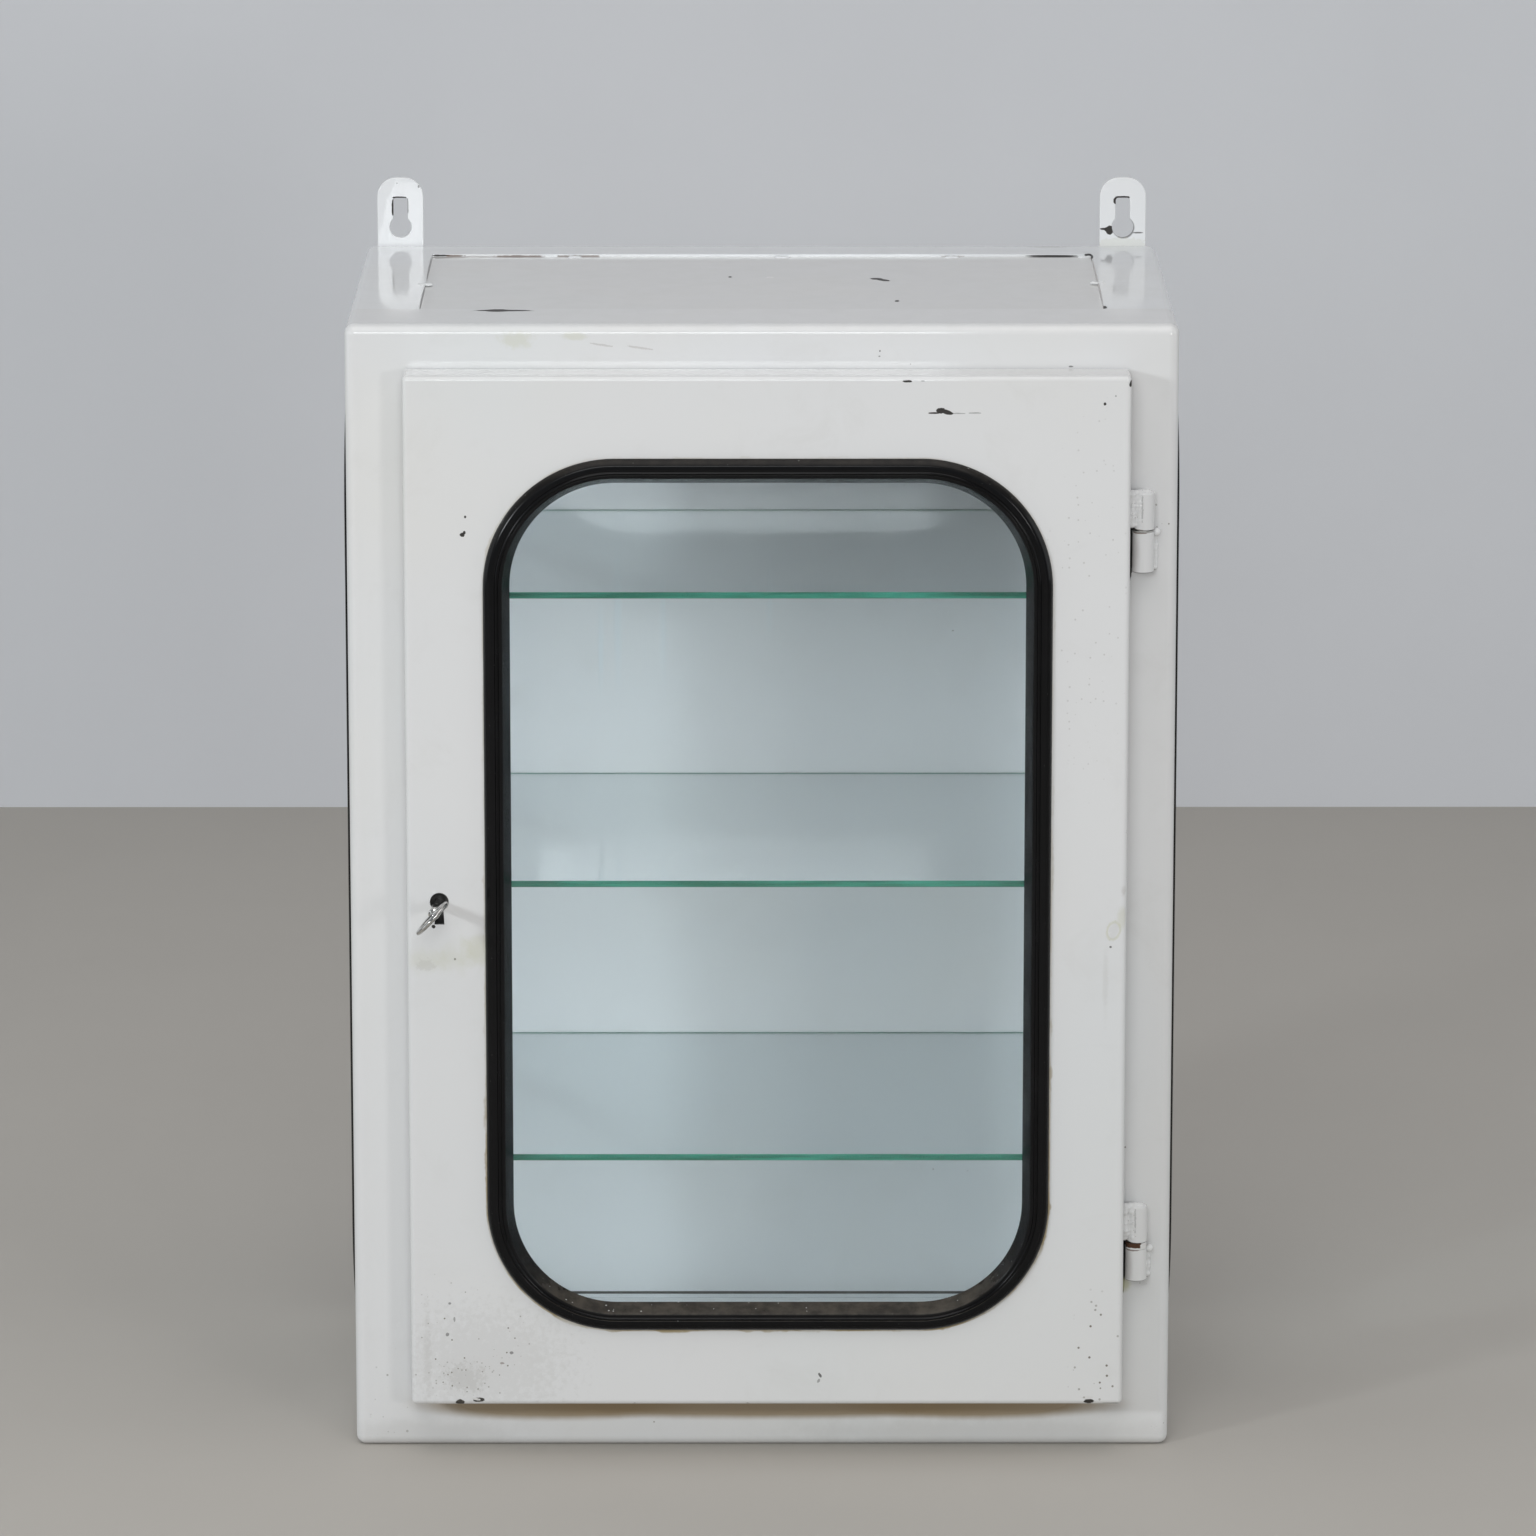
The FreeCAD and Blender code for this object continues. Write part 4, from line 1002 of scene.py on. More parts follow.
FRONT_MARKS = (
    on_front(GRIME, -205.0, 8.0, 46.0, 8.0, 1.6, 0.5, soft=0.6, grain=60.0),
    on_front(GRIME, 140.0, 8.0, 110.0, 8.0, 1.6, 0.5, soft=0.6, grain=60.0),
    # Painted shadow: a brown band on the frame just below the door, for the door's shadow and a brown floor's
    # reflection in it.
    on_front(SOOT, -130.0, 26.8, 74.0, 9.4, 0.2, soft=0.3, grain=30.0),
    on_front(SOOT, 2.0, 26.6, 150.0, 8.6, 0.2, soft=0.3, grain=30.0),
    on_front(SOOT, 134.0, 26.8, 75.0, 9.0, 0.2, soft=0.3, grain=30.0),
    on_front(SPECKLE, -226.0, 30.0, 16.0, 26.0, 1.2, 0.6, soft=0.4, grain=260.0),
    Mark(CHIP, (-156.0, -98.1, 700.0), (17.5, 2.8, 3.0), 0.3, tilt=(0.0, 0.0, -1.0), grain=200.0),
    Mark(CHIP, (-159.5, -98.1, 700.0), (8.0, 4.6, 3.0), 0.5, grain=250.0),
    on_front(GLUE, -146.4, 691.0, 9.5, 4.5, 2.2, 0.6, soft=0.5, grain=140.0),
    on_front(GLUE, -111.7, 693.3, 6.0, 2.0, 2.0, 0.6, soft=0.5, grain=150.0),
    on_front(RUST, -96.0, 688.0, 7.0, 0.6, 1.8, 0.25, 8.0),
    on_front(RUST, -73.0, 686.2, 8.0, 0.6, 1.8, 0.25, 8.0),
    on_front(CHIP, 70.7, 684.2, 0.5, 0.6, strength=0.7),
    on_front(CHIP, 70.4, 681.0, 0.6, 0.5, strength=0.6),
    on_front(CHIP, 185.1, 674.8, 1.3, 0.5, strength=0.7),
    # Painted shade in the gaps between the door's edge and the hinge knuckles, and in the corners at their ends.
    by_hinge(SHADE, 221.4, 561.5, 1.9, 17.0, 0.3),
    by_hinge(SHADE, 221.4, 116.0, 1.9, 18.0, 0.3),
    by_hinge(SHADE, 221.9, 131.0, 2.6, 2.5, 0.5),
    by_hinge(SHADE, 222.4, 577.0, 3.0, 2.0, 0.5),
    by_hinge(GLUE, 222.0, 103.5, 4.0, 4.0, 1.2, 1.6, soft=0.5, grain=120.0),
    on_front(SPECKLE, 232.0, 112.0, 7.0, 9.0, 1.2, 0.6, soft=0.4, grain=500.0),
    on_front(SPECKLE, 236.0, 585.0, 9.0, 12.0, 1.2, 0.5, soft=0.4, grain=300.0),
    upright(FRONT_FACE, 6.0, SPECKLE, 246.0, 12.0, 5.0, 7.0, 1.2, soft=0.4, grain=700.0),
)

BACK_MARKS = (
    # The SHADE marks along the top seam are painted shade in its gaps.
    on_seam(SHADE, -201.5, 699.2, 5.5, 0.6, 1.2),
    on_seam(RUST, -193.0, 699.0, 6.0, 0.6, 1.8, 0.8, grain=250.0),
    on_seam(RUST, -152.0, 698.8, 16.0, 0.5, 2.4, 0.8, grain=160.0),
    on_seam(RUST, -114.0, 698.8, 14.0, 0.5, 2.4, 0.8, grain=160.0),
    on_seam(RUST, 120.0, 698.6, 6.0, 0.5, 1.8, 0.5),
    on_seam(SHADE, 182.0, 698.9, 17.0, 0.55, 0.7, grain=80.0),
    upright(113.0, 3.0, SHADE, 205.5, 699.4, 2.4, 0.9, 0.8),
    upright(142.0, 5.0, GRIME, 181.0, 700.0, 10.0, 2.0, 2.0, soft=0.5, grain=150.0),
    on_back(RUN, -92.0, 460.0, 2.2, 42.0, 0.5, soft=0.4, grain=60.0),
    on_back(RUN, -103.0, 440.0, 1.6, 26.0, 0.6, soft=0.4, grain=60.0),
    on_back(RUN, -63.0, 452.0, 1.8, 30.0, 0.6, 0.8, soft=0.4, grain=60.0),
    on_back(RUN, 5.0, 470.0, 1.6, 22.0, 0.6, 0.7, soft=0.4, grain=60.0),
    # Painted shade: a dark line in the gap between the raised floor and the back wall.
    upright(148.0, 3.0, SHADE, 0.0, 10.7, 2400.0, 0.9, 0.4, soft=0.1, grain=14.0),
)

TOP_MARKS = (
    Mark(CHIP, (71.0, 27.5, 698.5), (3.8, 3.4, 3.0), 0.6, tilt=(0.0, 0.0, -20.0)),
    Mark(CHIP, (75.5, 22.5, 698.5), (5.2, 2.6, 3.0), 0.6, tilt=(0.0, 0.0, -48.0)),
    Mark(CHIP, (82.4, -55.0, 698.5), (1.4, 3.0, 3.0)),
    Mark(CHIP, (-19.6, 34.4, 698.5), (1.1, 2.6, 3.0)),
    Mark(PAINT, (5.1, 34.0, 698.5), (2.6, 3.0, 3.0), 1.4),
    Mark(RUST, (-170.0, 111.6, 698.5), (34.0, 1.6, 2.0), 2.2, 0.7, grain=160.0),
    # Painted shade in the gap of the top's back seam.
    Mark(SHADE, (184.0, 111.6, 698.5), (16.0, 1.6, 2.0), 0.9),
)

# The SHADE marks below are painted shade in the gaps of the top's side seams; the RUST mark is the seam's own rust.
SIDE_MARKS = {
    Side.LEFT: (
        Mark(SHADE, (-207.0, -48.0, 699.4), (0.7, 42.0, 1.6), 1.3, 0.6, grain=90.0),
        Mark(SHADE, (-207.0, 66.0, 699.4), (0.8, 46.0, 1.6), 1.5, 0.6, grain=90.0),
    ),
    Side.RIGHT: (
        Mark(SHADE, (207.0, -87.0, 699.4), (2.2, 6.0, 1.8), 0.6),
        Mark(SHADE, (207.0, 104.0, 699.4), (1.2, 9.0, 1.8), 0.8, grain=90.0),
        Mark(RUST, (207.0, 10.0, 699.4), (0.9, 90.0, 1.6), 1.6, 0.45, grain=90.0),
    ),
}


@dataclass
class BodyShell:
    """The welded body: front tray, back tray, side panels, top sheet and raised floor."""

    half_width: float = 250.0
    half_depth: float = 150.0
    height: float = 700.0
    seam_tacks: tuple[float, ...] = (-117.2, 12.8, 119.5, 203.1)
    seam_depth: float = 108.5
    side_seam: float = 207.0
    # The inner sheets' enamel is a lighter, bluer copy of the white: its blue tint is painted cool light for the
    # shaded inside.
    inner_colour: Triple = (0.83, 0.85, 0.865)
    # The top sheet's enamel is a darker, warmer copy of the front's white: painted shade for the top.
    top_colour: Triple = (0.765, 0.762, 0.757)

    def sheet(self, name: str, marks: Sequence[Mark], **looks: object) -> Enamel:
        """Enamel that is worn along the body's edges.

        Args:
            name: The finish's name.
            marks: Its chips and stains.
            looks: Further fields of the finish.

        Returns:
            The finish.
        """
        low = (-self.half_width, -self.half_depth, 0.0)
        high = (self.half_width, self.half_depth, self.height)
        return Enamel(name, low=low, high=high, marks=tuple(marks), **looks)

    def inner(self, name: str, marks: Sequence[Mark] = ()) -> Enamel:
        """Enamel of the sheets behind the front tray, in the lighter, bluer copy of the white."""
        return self.sheet(name, marks, colour=self.inner_colour, gloss=0.045, wear=0.02)

    def dress(self) -> None:
        """Paints the pressed sheets."""
        self.sheet("enamel_front_frame", FRONT_MARKS, wear=0.03).cover("front_frame")
        Enamel("enamel_top", colour=self.top_colour, marks=TOP_MARKS).cover("top_panel")
        self.inner("enamel_floor").cover("bottom_panel")
        self.inner("enamel_back", BACK_MARKS).cover("back_panel")
        for side, marks in SIDE_MARKS.items():
            self.inner(f"enamel_{side.word}_side", marks).cover(f"{side.word}_side_panel")

    def build(self) -> None:
        """Dresses the sheets and lays small painted tack welds along the top's seams."""
        self.dress()
        tacks = Shape()
        chance = random.Random(5)
        steps = [step - 1.5 for step in range(4)]
        for across in self.seam_tacks:
            for step in steps:
                place = (across + step * 1.6, self.seam_depth + chance.uniform(-0.4, 0.4), self.height - 1.4)
                tacks.lump(place, (2.2, 1.8, chance.uniform(0.9, 1.25)))
        for side in Side:
            for step in steps:
                depth = 2.0 + side.value * 3.0 + chance.uniform(-0.5, 0.5)
                place = (side.value * self.side_seam + step * 1.9, depth, self.height - 0.4)
                tacks.lump(place, (2.1, 2.0, chance.uniform(0.9, 1.2)))
        tacks.melt(0.5, "top_seam_tacks", Body.CABINET, Slot.ENAMEL, self.inner("enamel_tacks"))


HANGER_MARKS = {
    Side.LEFT: (
        (CHIP, -4.6, 12.4, 1.0, 5.8, 1.4), (CHIP, 4.5, 13.3, 0.6, 5.0, 1.4, 0.6), (CHIP, -0.4, 18.8, 4.4, 0.8, 1.5),
        (CHIP, -2.0, 28.0, 0.5, 0.5, 0.6, 0.5), (CHIP, 11.6, 25.8, 0.6, 0.9, 0.6, 0.6),
    ),
    Side.RIGHT: (
        (CHIP, 0.0, 18.9, 4.6, 0.8, 1.2), (CHIP, -4.7, 16.6, 1.3, 2.2, 0.8), (CHIP, -8.3, -2.0, 2.3, 2.9, 0.7),
        (CHIP, -12.0, -1.3, 2.2, 0.7, 0.8), (CHIP, -10.2, -1.6, 1.6, 1.3, 0.8), (CHIP, 9.6, -3.7, 3.4, 0.45, 0.8, 0.8),
        # Painted shade: a thin dark rim round the hole.
        (SHADE, 0.4, -0.4, 7.0, 7.0, 0.05, 0.8), (GLUE, 0.0, -11.0, 17.0, 4.0, 1.6, 0.4),
    ),
}


@dataclass
class Hanger:
    """A flat strap with a round head and a keyhole slot, welded to the back of the body."""

    side: Side
    across: float = 228.5
    half_width: float = 14.6
    front: float = 150.0
    sheet: float = 2.99
    foot: float = 638.0
    head: float = 742.99
    hole_height: float = 711.4
    hole_radius: float = 6.8
    half_slot: float = 4.5
    slot_top: float = 730.0
    edge_round: float = 0.55

    def finish(self) -> Enamel:
        """Enamel chipped round the slot, where the screw has rubbed, with painted shade on the rim of the right
        hanger's hole; its marks are placed from the hole's middle.
        """
        middle = self.across * self.side.value
        marks = tuple(upright(self.front, 4.0, kind, middle + across, self.hole_height + up, *more)
                      for kind, across, up, *more in HANGER_MARKS[self.side])
        return Enamel(f"enamel_{self.side.word}_hanger", colour=(0.86, 0.87, 0.88), gloss=0.03, peel=0.007,
                      specks=0.05, marks=marks)

    def build(self) -> None:
        """Cuts the strap from its outline and softens its painted edges."""
        strap = Shape()
        middle, front, half = self.across * self.side.value, self.front, self.half_slot
        left, right = middle - self.half_width, middle + self.half_width
        strap.wire([(left, front, self.foot), (right, front, self.foot),
                    (right, front, self.head), (left, front, self.head)])
        heads = [corner for corner in strap.mesh.verts if corner.co.z > self.head - 1.0]
        strap.bevel(heads, self.half_width * 0.84, 12, "VERTICES")
        start = (middle + half, front, self.hole_height + math.sqrt(self.hole_radius ** 2 - half ** 2))
        open_angle = 2 * math.asin(half / self.hole_radius)
        first, last = strap.arc(start, (middle, front, self.hole_height), INWARD, math.tau - open_angle, 28)
        tops = [strap.mesh.verts.new((middle + way * half, front, self.slot_top)) for way in (-1, 1)]
        for pair in ((last, tops[0]), tops, (tops[1], first)):
            strap.mesh.edges.new(pair)
        strap.bevel(tops, half * 0.4, 4, "VERTICES")
        strap.thicken(strap.fill(strap.mesh.edges), (0.0, self.sheet, 0.0))
        strap.soften(self.edge_round, 3, 60.0)
        word = self.side.word
        strap.finish(f"{word}_hanger_strap", Body.CABINET, Slot.ENAMEL, self.finish(),
                     replaces=[f"{word}_hanging_bracket"])


@dataclass
class WindowRubber:
    """H section rubber swept round a window cut-out, with the locking strip pressed into its crest.

    A section's points are depth behind the sheet's face and reach inward from the cut.
    """

    name: str
    nodes: tuple[str, ...]
    body: Body
    width: float
    height: float
    middle: Triple
    turn: float = 0.0
    strip_crown: float = 0.6
    radius: float = 73.0
    corner_steps: int = 26
    finish: Rubber = Rubber("window_rubber")
    strip_finish: Rubber = Rubber("locking_strip_rubber", colour=(0.003, 0.003, 0.0035), dust=0.06, flecks=0.1)

    SECTION = (
        (0.0, -6.0), (-3.6, -4.8), (-4.5, -1.6), (-4.5, 0.9), (-2.2, 2.15), (-4.5, 3.4), (-4.1, 5.4), (7.0, 10.1),
        (7.0, 3.5), (11.0, 3.5), (11.0, 8.4), (14.5, 4.0), (1.5, -6.0), (1.5, 0.0), (0.0, 0.0),
    )
    ROUNDS = {1: 2.4, 2: 1.6, 3: 0.35, 5: 0.3, 6: 0.6, 7: 0.4, 10: 0.5, 11: 1.5}
    STRIP_ROOT = (-2.35, 2.15)
    STRIP_LIP = -4.35
    STRIP_CREST = -4.5
    STRIP_ROUNDS = {2: 0.45, 3: 0.45}

    def sweep(self, name: str, finish: Rubber, points: Sequence[Pair], rounds: dict[int, float],
              replaces: Sequence[str] = ()) -> None:
        """Draws a section once round the cut-out, from the middle of its lower side.

        Args:
            name: The piece's name.
            finish: Its rubber.
            points: The section's corners.
            rounds: The radius of each rounded corner, by its number.
            replaces: The nodes that it stands for.
        """
        ring = Shape()
        ring.wire([(0.0, depth, inward - self.height / 2) for depth, inward in points])
        corners = list(ring.mesh.verts)
        for number, radius in rounds.items():
            ring.bevel([corners[number]], radius, 4 if radius > 1.0 else 2, "VERTICES")
        right, up = self.width / 2 - self.radius, self.height / 2 - self.radius
        edges = ring.push(ring.mesh.edges, (right, 0.0, 0.0))
        for across, height, onward in (
            (right, -up, (0.0, 0.0, 2 * up)), (right, up, (-2 * right, 0.0, 0.0)),
            (-right, up, (0.0, 0.0, -2 * up)), (-right, -up, (right, 0.0, 0.0)),
        ):
            edges = ring.swing(edges, (across, 0.0, height), OUTWARD, QUARTER, self.corner_steps)
            edges = ring.push(edges, onward)
        ring.move(Matrix.Translation(self.middle) @ Matrix.Rotation(self.turn, 4, "Z"))
        ring.finish(f"{self.name}_{name}", self.body, Slot.RUBBER, finish, replaces=replaces, sharp=50.0)

    def build(self) -> None:
        """Makes the rubber and its strip."""
        self.sweep("rubber", self.finish, self.SECTION, self.ROUNDS, self.nodes)
        crown = self.STRIP_CREST - self.strip_crown
        strip = (self.STRIP_ROOT, (self.STRIP_LIP, 1.05), (crown, 1.6), (crown, 2.7), (self.STRIP_LIP, 3.25))
        self.sweep("locking_strip", self.strip_finish, strip, self.STRIP_ROUNDS)


@dataclass
class Hinge:
    """A weld-on lift-off hinge: body knuckle with its pin, washer, door knuckle and their weld beads."""

    name: str
    body_foot: float
    body_head: float
    washer_head: float
    door_foot: float
    door_head: float
    washer: Finish
    washer_slot: Slot
    seed: int
    across: float = 229.1
    depth: float = -156.9
    radius: float = 6.6
    pin_radius: float = 3.0
    bore_radius: float = 3.05
    pin_rise: float = 19.0
    bore_rise: float = 21.0
    door_edge: float = 220.5
    melt_voxel: float = 0.45

    def paint(self) -> Enamel:
        """Thick enamel with rust bleeding out at the joint, a faint painted brown reflection on the left flank, and
        painted shade in the gaps, in the groove by the bead and along the foot.
        """
        left, depth = self.across - self.radius, self.depth
        middle = (self.body_foot + self.body_head) / 2
        return Enamel(f"enamel_{self.name}_hinge", gloss=0.07, peel=0.02, specks=0.04, marks=(
            # Painted reflection: a faint brown on the left flank, laid with the rust colour, stands in for a brown
            # floor mirrored there.
            upright(depth - 3.0, 8.0, RUST, left + 1.0, middle, 3.0, 14.0, 0.5, 0.3, soft=0.6, grain=60.0),
            upright(depth - 6.0, 5.0, RUST, left + 3.0, self.body_head, 5.5, 0.7, 0.8, 0.8),
            upright(depth - 6.0, 5.0, RUST, left + 3.0, self.door_foot, 4.0, 0.8, 1.2, 0.6),
            # Painted shade: dark in the gap at the door knuckle's foot, along the body knuckle's foot and in the
            # groove between the bead and the barrel.
            upright(depth, 9.0, SHADE, left + 0.5, self.door_foot, 3.6, 1.4, 0.6),
            upright(depth, 14.0, SHADE, self.across, self.body_foot - 0.1, 14.0, 0.7, 0.3, 0.8),
            upright(depth, 12.0, SHADE, self.across - 1.0, self.door_foot + 14.0, 0.6, 8.0, 2.6, 0.35, grain=330.0),
            upright(depth, 12.0, SPECKLE, self.door_edge + 4.0, self.door_foot + 9.0, 5.0, 13.0, 1.0, 0.8,
                    soft=0.4, grain=600.0),
        ))

    def barrel(self, profile: Sequence[Pair], closed: bool = False) -> Shape:
        """Turns a profile of radius and height about the hinge's axis.

        Args:
            profile: Radius and height of each point.
            closed: Whether it is a ring, and doesn't run from the axis to the axis.

        Returns:
            The turned shape.
        """
        shape = Shape()
        edges = shape.wire([(self.across - radius, self.depth, height) for radius, height in profile], closed)
        shape.lathe(edges, (self.across, self.depth, 0.0), UP)
        return shape

    def build_body_knuckle(self) -> None:
        """The lower barrel with the pin that stands in it."""
        r, rod, foot, head = self.radius, self.pin_radius, self.body_foot, self.body_head
        pin = self.pin_rise + self.door_foot
        self.barrel([
            (0.0, foot), (r - 0.7, foot), (r - 0.2, foot + 0.2), (r, foot + 0.7), (r, head - 0.7),
            (r - 0.2, head - 0.2), (r - 0.7, head), (rod, head), (rod, pin - 1.0), (rod - 1.0, pin), (0.0, pin),
        ]).finish(f"{self.name}_body_barrel", Body.CABINET, Slot.ENAMEL, self.paint(),
                  replaces=[f"{self.name}_body_knuckle"])

    def build_door_knuckle(self) -> None:
        """The upper barrel, bored blind from below, with paint drawn over its head."""
        r, bore, foot, head = self.radius, self.bore_radius, self.door_foot, self.door_head
        end = foot + self.bore_rise
        self.barrel([
            (0.0, end), (bore, end), (bore, foot), (r - 0.7, foot), (r - 0.2, foot + 0.2), (r, foot + 0.7),
            (r, head - 1.6), (r - 0.25, head - 0.85), (r - 0.9, head - 0.3), (r - 2.0, head - 0.05), (0.0, head),
        ]).finish(f"{self.name}_door_barrel", Body.DOOR, Slot.ENAMEL, self.paint(),
                  replaces=[f"{self.name}_door_knuckle"])

    def build_washer(self) -> None:
        """The loose washer between the knuckles."""
        r, bore, foot, head = self.radius - 0.15, self.bore_radius, self.body_head, self.washer_head
        self.barrel([
            (bore, foot), (r - 0.2, foot), (r, foot + 0.25), (r, head - 0.25), (r - 0.2, head), (bore, head),
        ], closed=True).finish(f"{self.name}_washer_ring", Body.CABINET, self.washer_slot, self.washer,
                               replaces=[f"{self.name}_hinge_washer"])

    def build_beads(self) -> None:
        """Lumpy weld beads, painted over, on the body side and on the door side."""
        chance = random.Random(self.seed)

        def vary(value: float, low: float, high: float) -> float:
            """The value, a little off."""
            return value + chance.uniform(low, high)

        bead = Shape()
        height = self.body_foot + 2.0
        while height < self.body_head - 1.5:
            bead.lump((vary(self.across + 6.0, -0.4, 0.6), FRONT_FACE - 1.2, height),
                      (vary(3.2, -0.3, 0.5), vary(2.3, -0.3, 0.4), 2.4))
            height += 2.2
        bead.lump((self.across + 8.2, FRONT_FACE - 3.8, self.body_head - 1.0), (2.6, 2.6, 2.6))
        bead.melt(self.melt_voxel, f"{self.name}_body_weld", Body.CABINET, Slot.ENAMEL, self.paint())
        weld = Shape()
        edge, corner = self.door_edge, DOOR_FACE + 16.0
        height = self.door_foot + 3.6
        while height < self.door_head - 0.6:
            weld.lump((vary(edge + 1.5, -0.5, 0.5), vary(corner, -0.5, 0.5), height),
                      (vary(2.6, -0.4, 0.6), vary(3.4, -0.5, 0.5), 2.3))
            weld.lump((vary(edge + 4.6, -0.5, 0.4), vary(corner + 1.8, -0.5, 0.3), height),
                      (vary(2.4, -0.3, 0.4), 3.0, 2.2))
            weld.lump((vary(edge + 6.4, -0.6, 0.4), vary(corner - 0.4, -0.2, 0.3), height),
                      (vary(1.7, -0.2, 0.3), 2.3, 2.2))
            height += 2.3
        for step in range(4):
            place = (edge + 1.6 + 3.0 * step, self.depth - 3.4 + 0.5 * step, vary(self.door_head - 0.6, -0.7, 0.9))
            weld.lump(place, (2.7, 2.9, vary(1.9, -0.2, 0.7)))
        weld.melt(self.melt_voxel, f"{self.name}_door_weld", Body.DOOR, Slot.ENAMEL, self.paint())

    def build(self) -> None:
        """Builds the whole hinge."""
        self.build_body_knuckle()
        self.build_washer()
        self.build_door_knuckle()
        self.build_beads()


@dataclass
class RimLock:
    """Rim lock inside the door: pressed case, cover with slotted screws, bolt, leaf spring and keeper."""

    screws: tuple[Pair, ...] = ((-204.3, 376.6), (-174.3, 335.4))
    cover_back: float = -161.5
    sunk: float = 0.2
    screw_radius: float = 2.1
    screw_head: float = 1.8
    slot_floor: float = 0.45
    half_slot: float = 0.35
    steel: Metal = Metal("lock_steel", colour=(0.36, 0.355, 0.35), gloss=0.36, rust=0.10)
    bright: Metal = Metal("bolt_steel", colour=(0.50, 0.50, 0.50), gloss=0.26, rust=0.05)

    def build_screw(self, number: int, across: float, height: float) -> None:
        """One cheese-head screw with its slot.

        Args:
            number: The screw's number.
            across: Its place across.
            height: Its place in height.
        """
        screw = Shape()
        r, back, rise = self.screw_radius, self.cover_back, self.screw_head
        foot, floor = back - self.sunk, back + rise * self.slot_floor
        edges = screw.wire([(across, foot, height), (across - r, foot, height),
                            (across - r, floor, height), (across, floor, height)], closed=False)
        screw.lathe(edges, (across, 0.0, height), INWARD, 28)
        lean = math.asin(self.half_slot / r)
        for way in (1.0, -1.0):
            start = (across + way * r * math.cos(lean), floor, height + way * self.half_slot)
            screw.mesh.edges.new(screw.arc(start, (across, back, height), OUTWARD, math.pi - 2 * lean, 14))
            loop = [edge for edge in screw.mesh.edges if not edge.link_faces]
            screw.thicken(screw.fill(loop), (0.0, rise * (1.0 - self.slot_floor), 0.0))
        screw.soften(0.15, 2, 50.0)
        place = Matrix.Translation((across, 0.0, height))
        screw.move(place @ Matrix.Rotation(0.6 + number, 4, "Y") @ place.inverted())
        screw.finish(f"lock_cover_screw_{number}", Body.DOOR, Slot.STEEL, self.bright)

    def build(self) -> None:
        """Gives the lock's solids their metals and adds its screws."""
        self.steel.cover("lock_case", "lock_cover")
        self.bright.cover("lock_bolt", "lock_spring")
        Enamel("enamel_keeper").cover("lock_keeper")
        for number, place in enumerate(self.screws, 1):
            self.build_screw(number, *place)


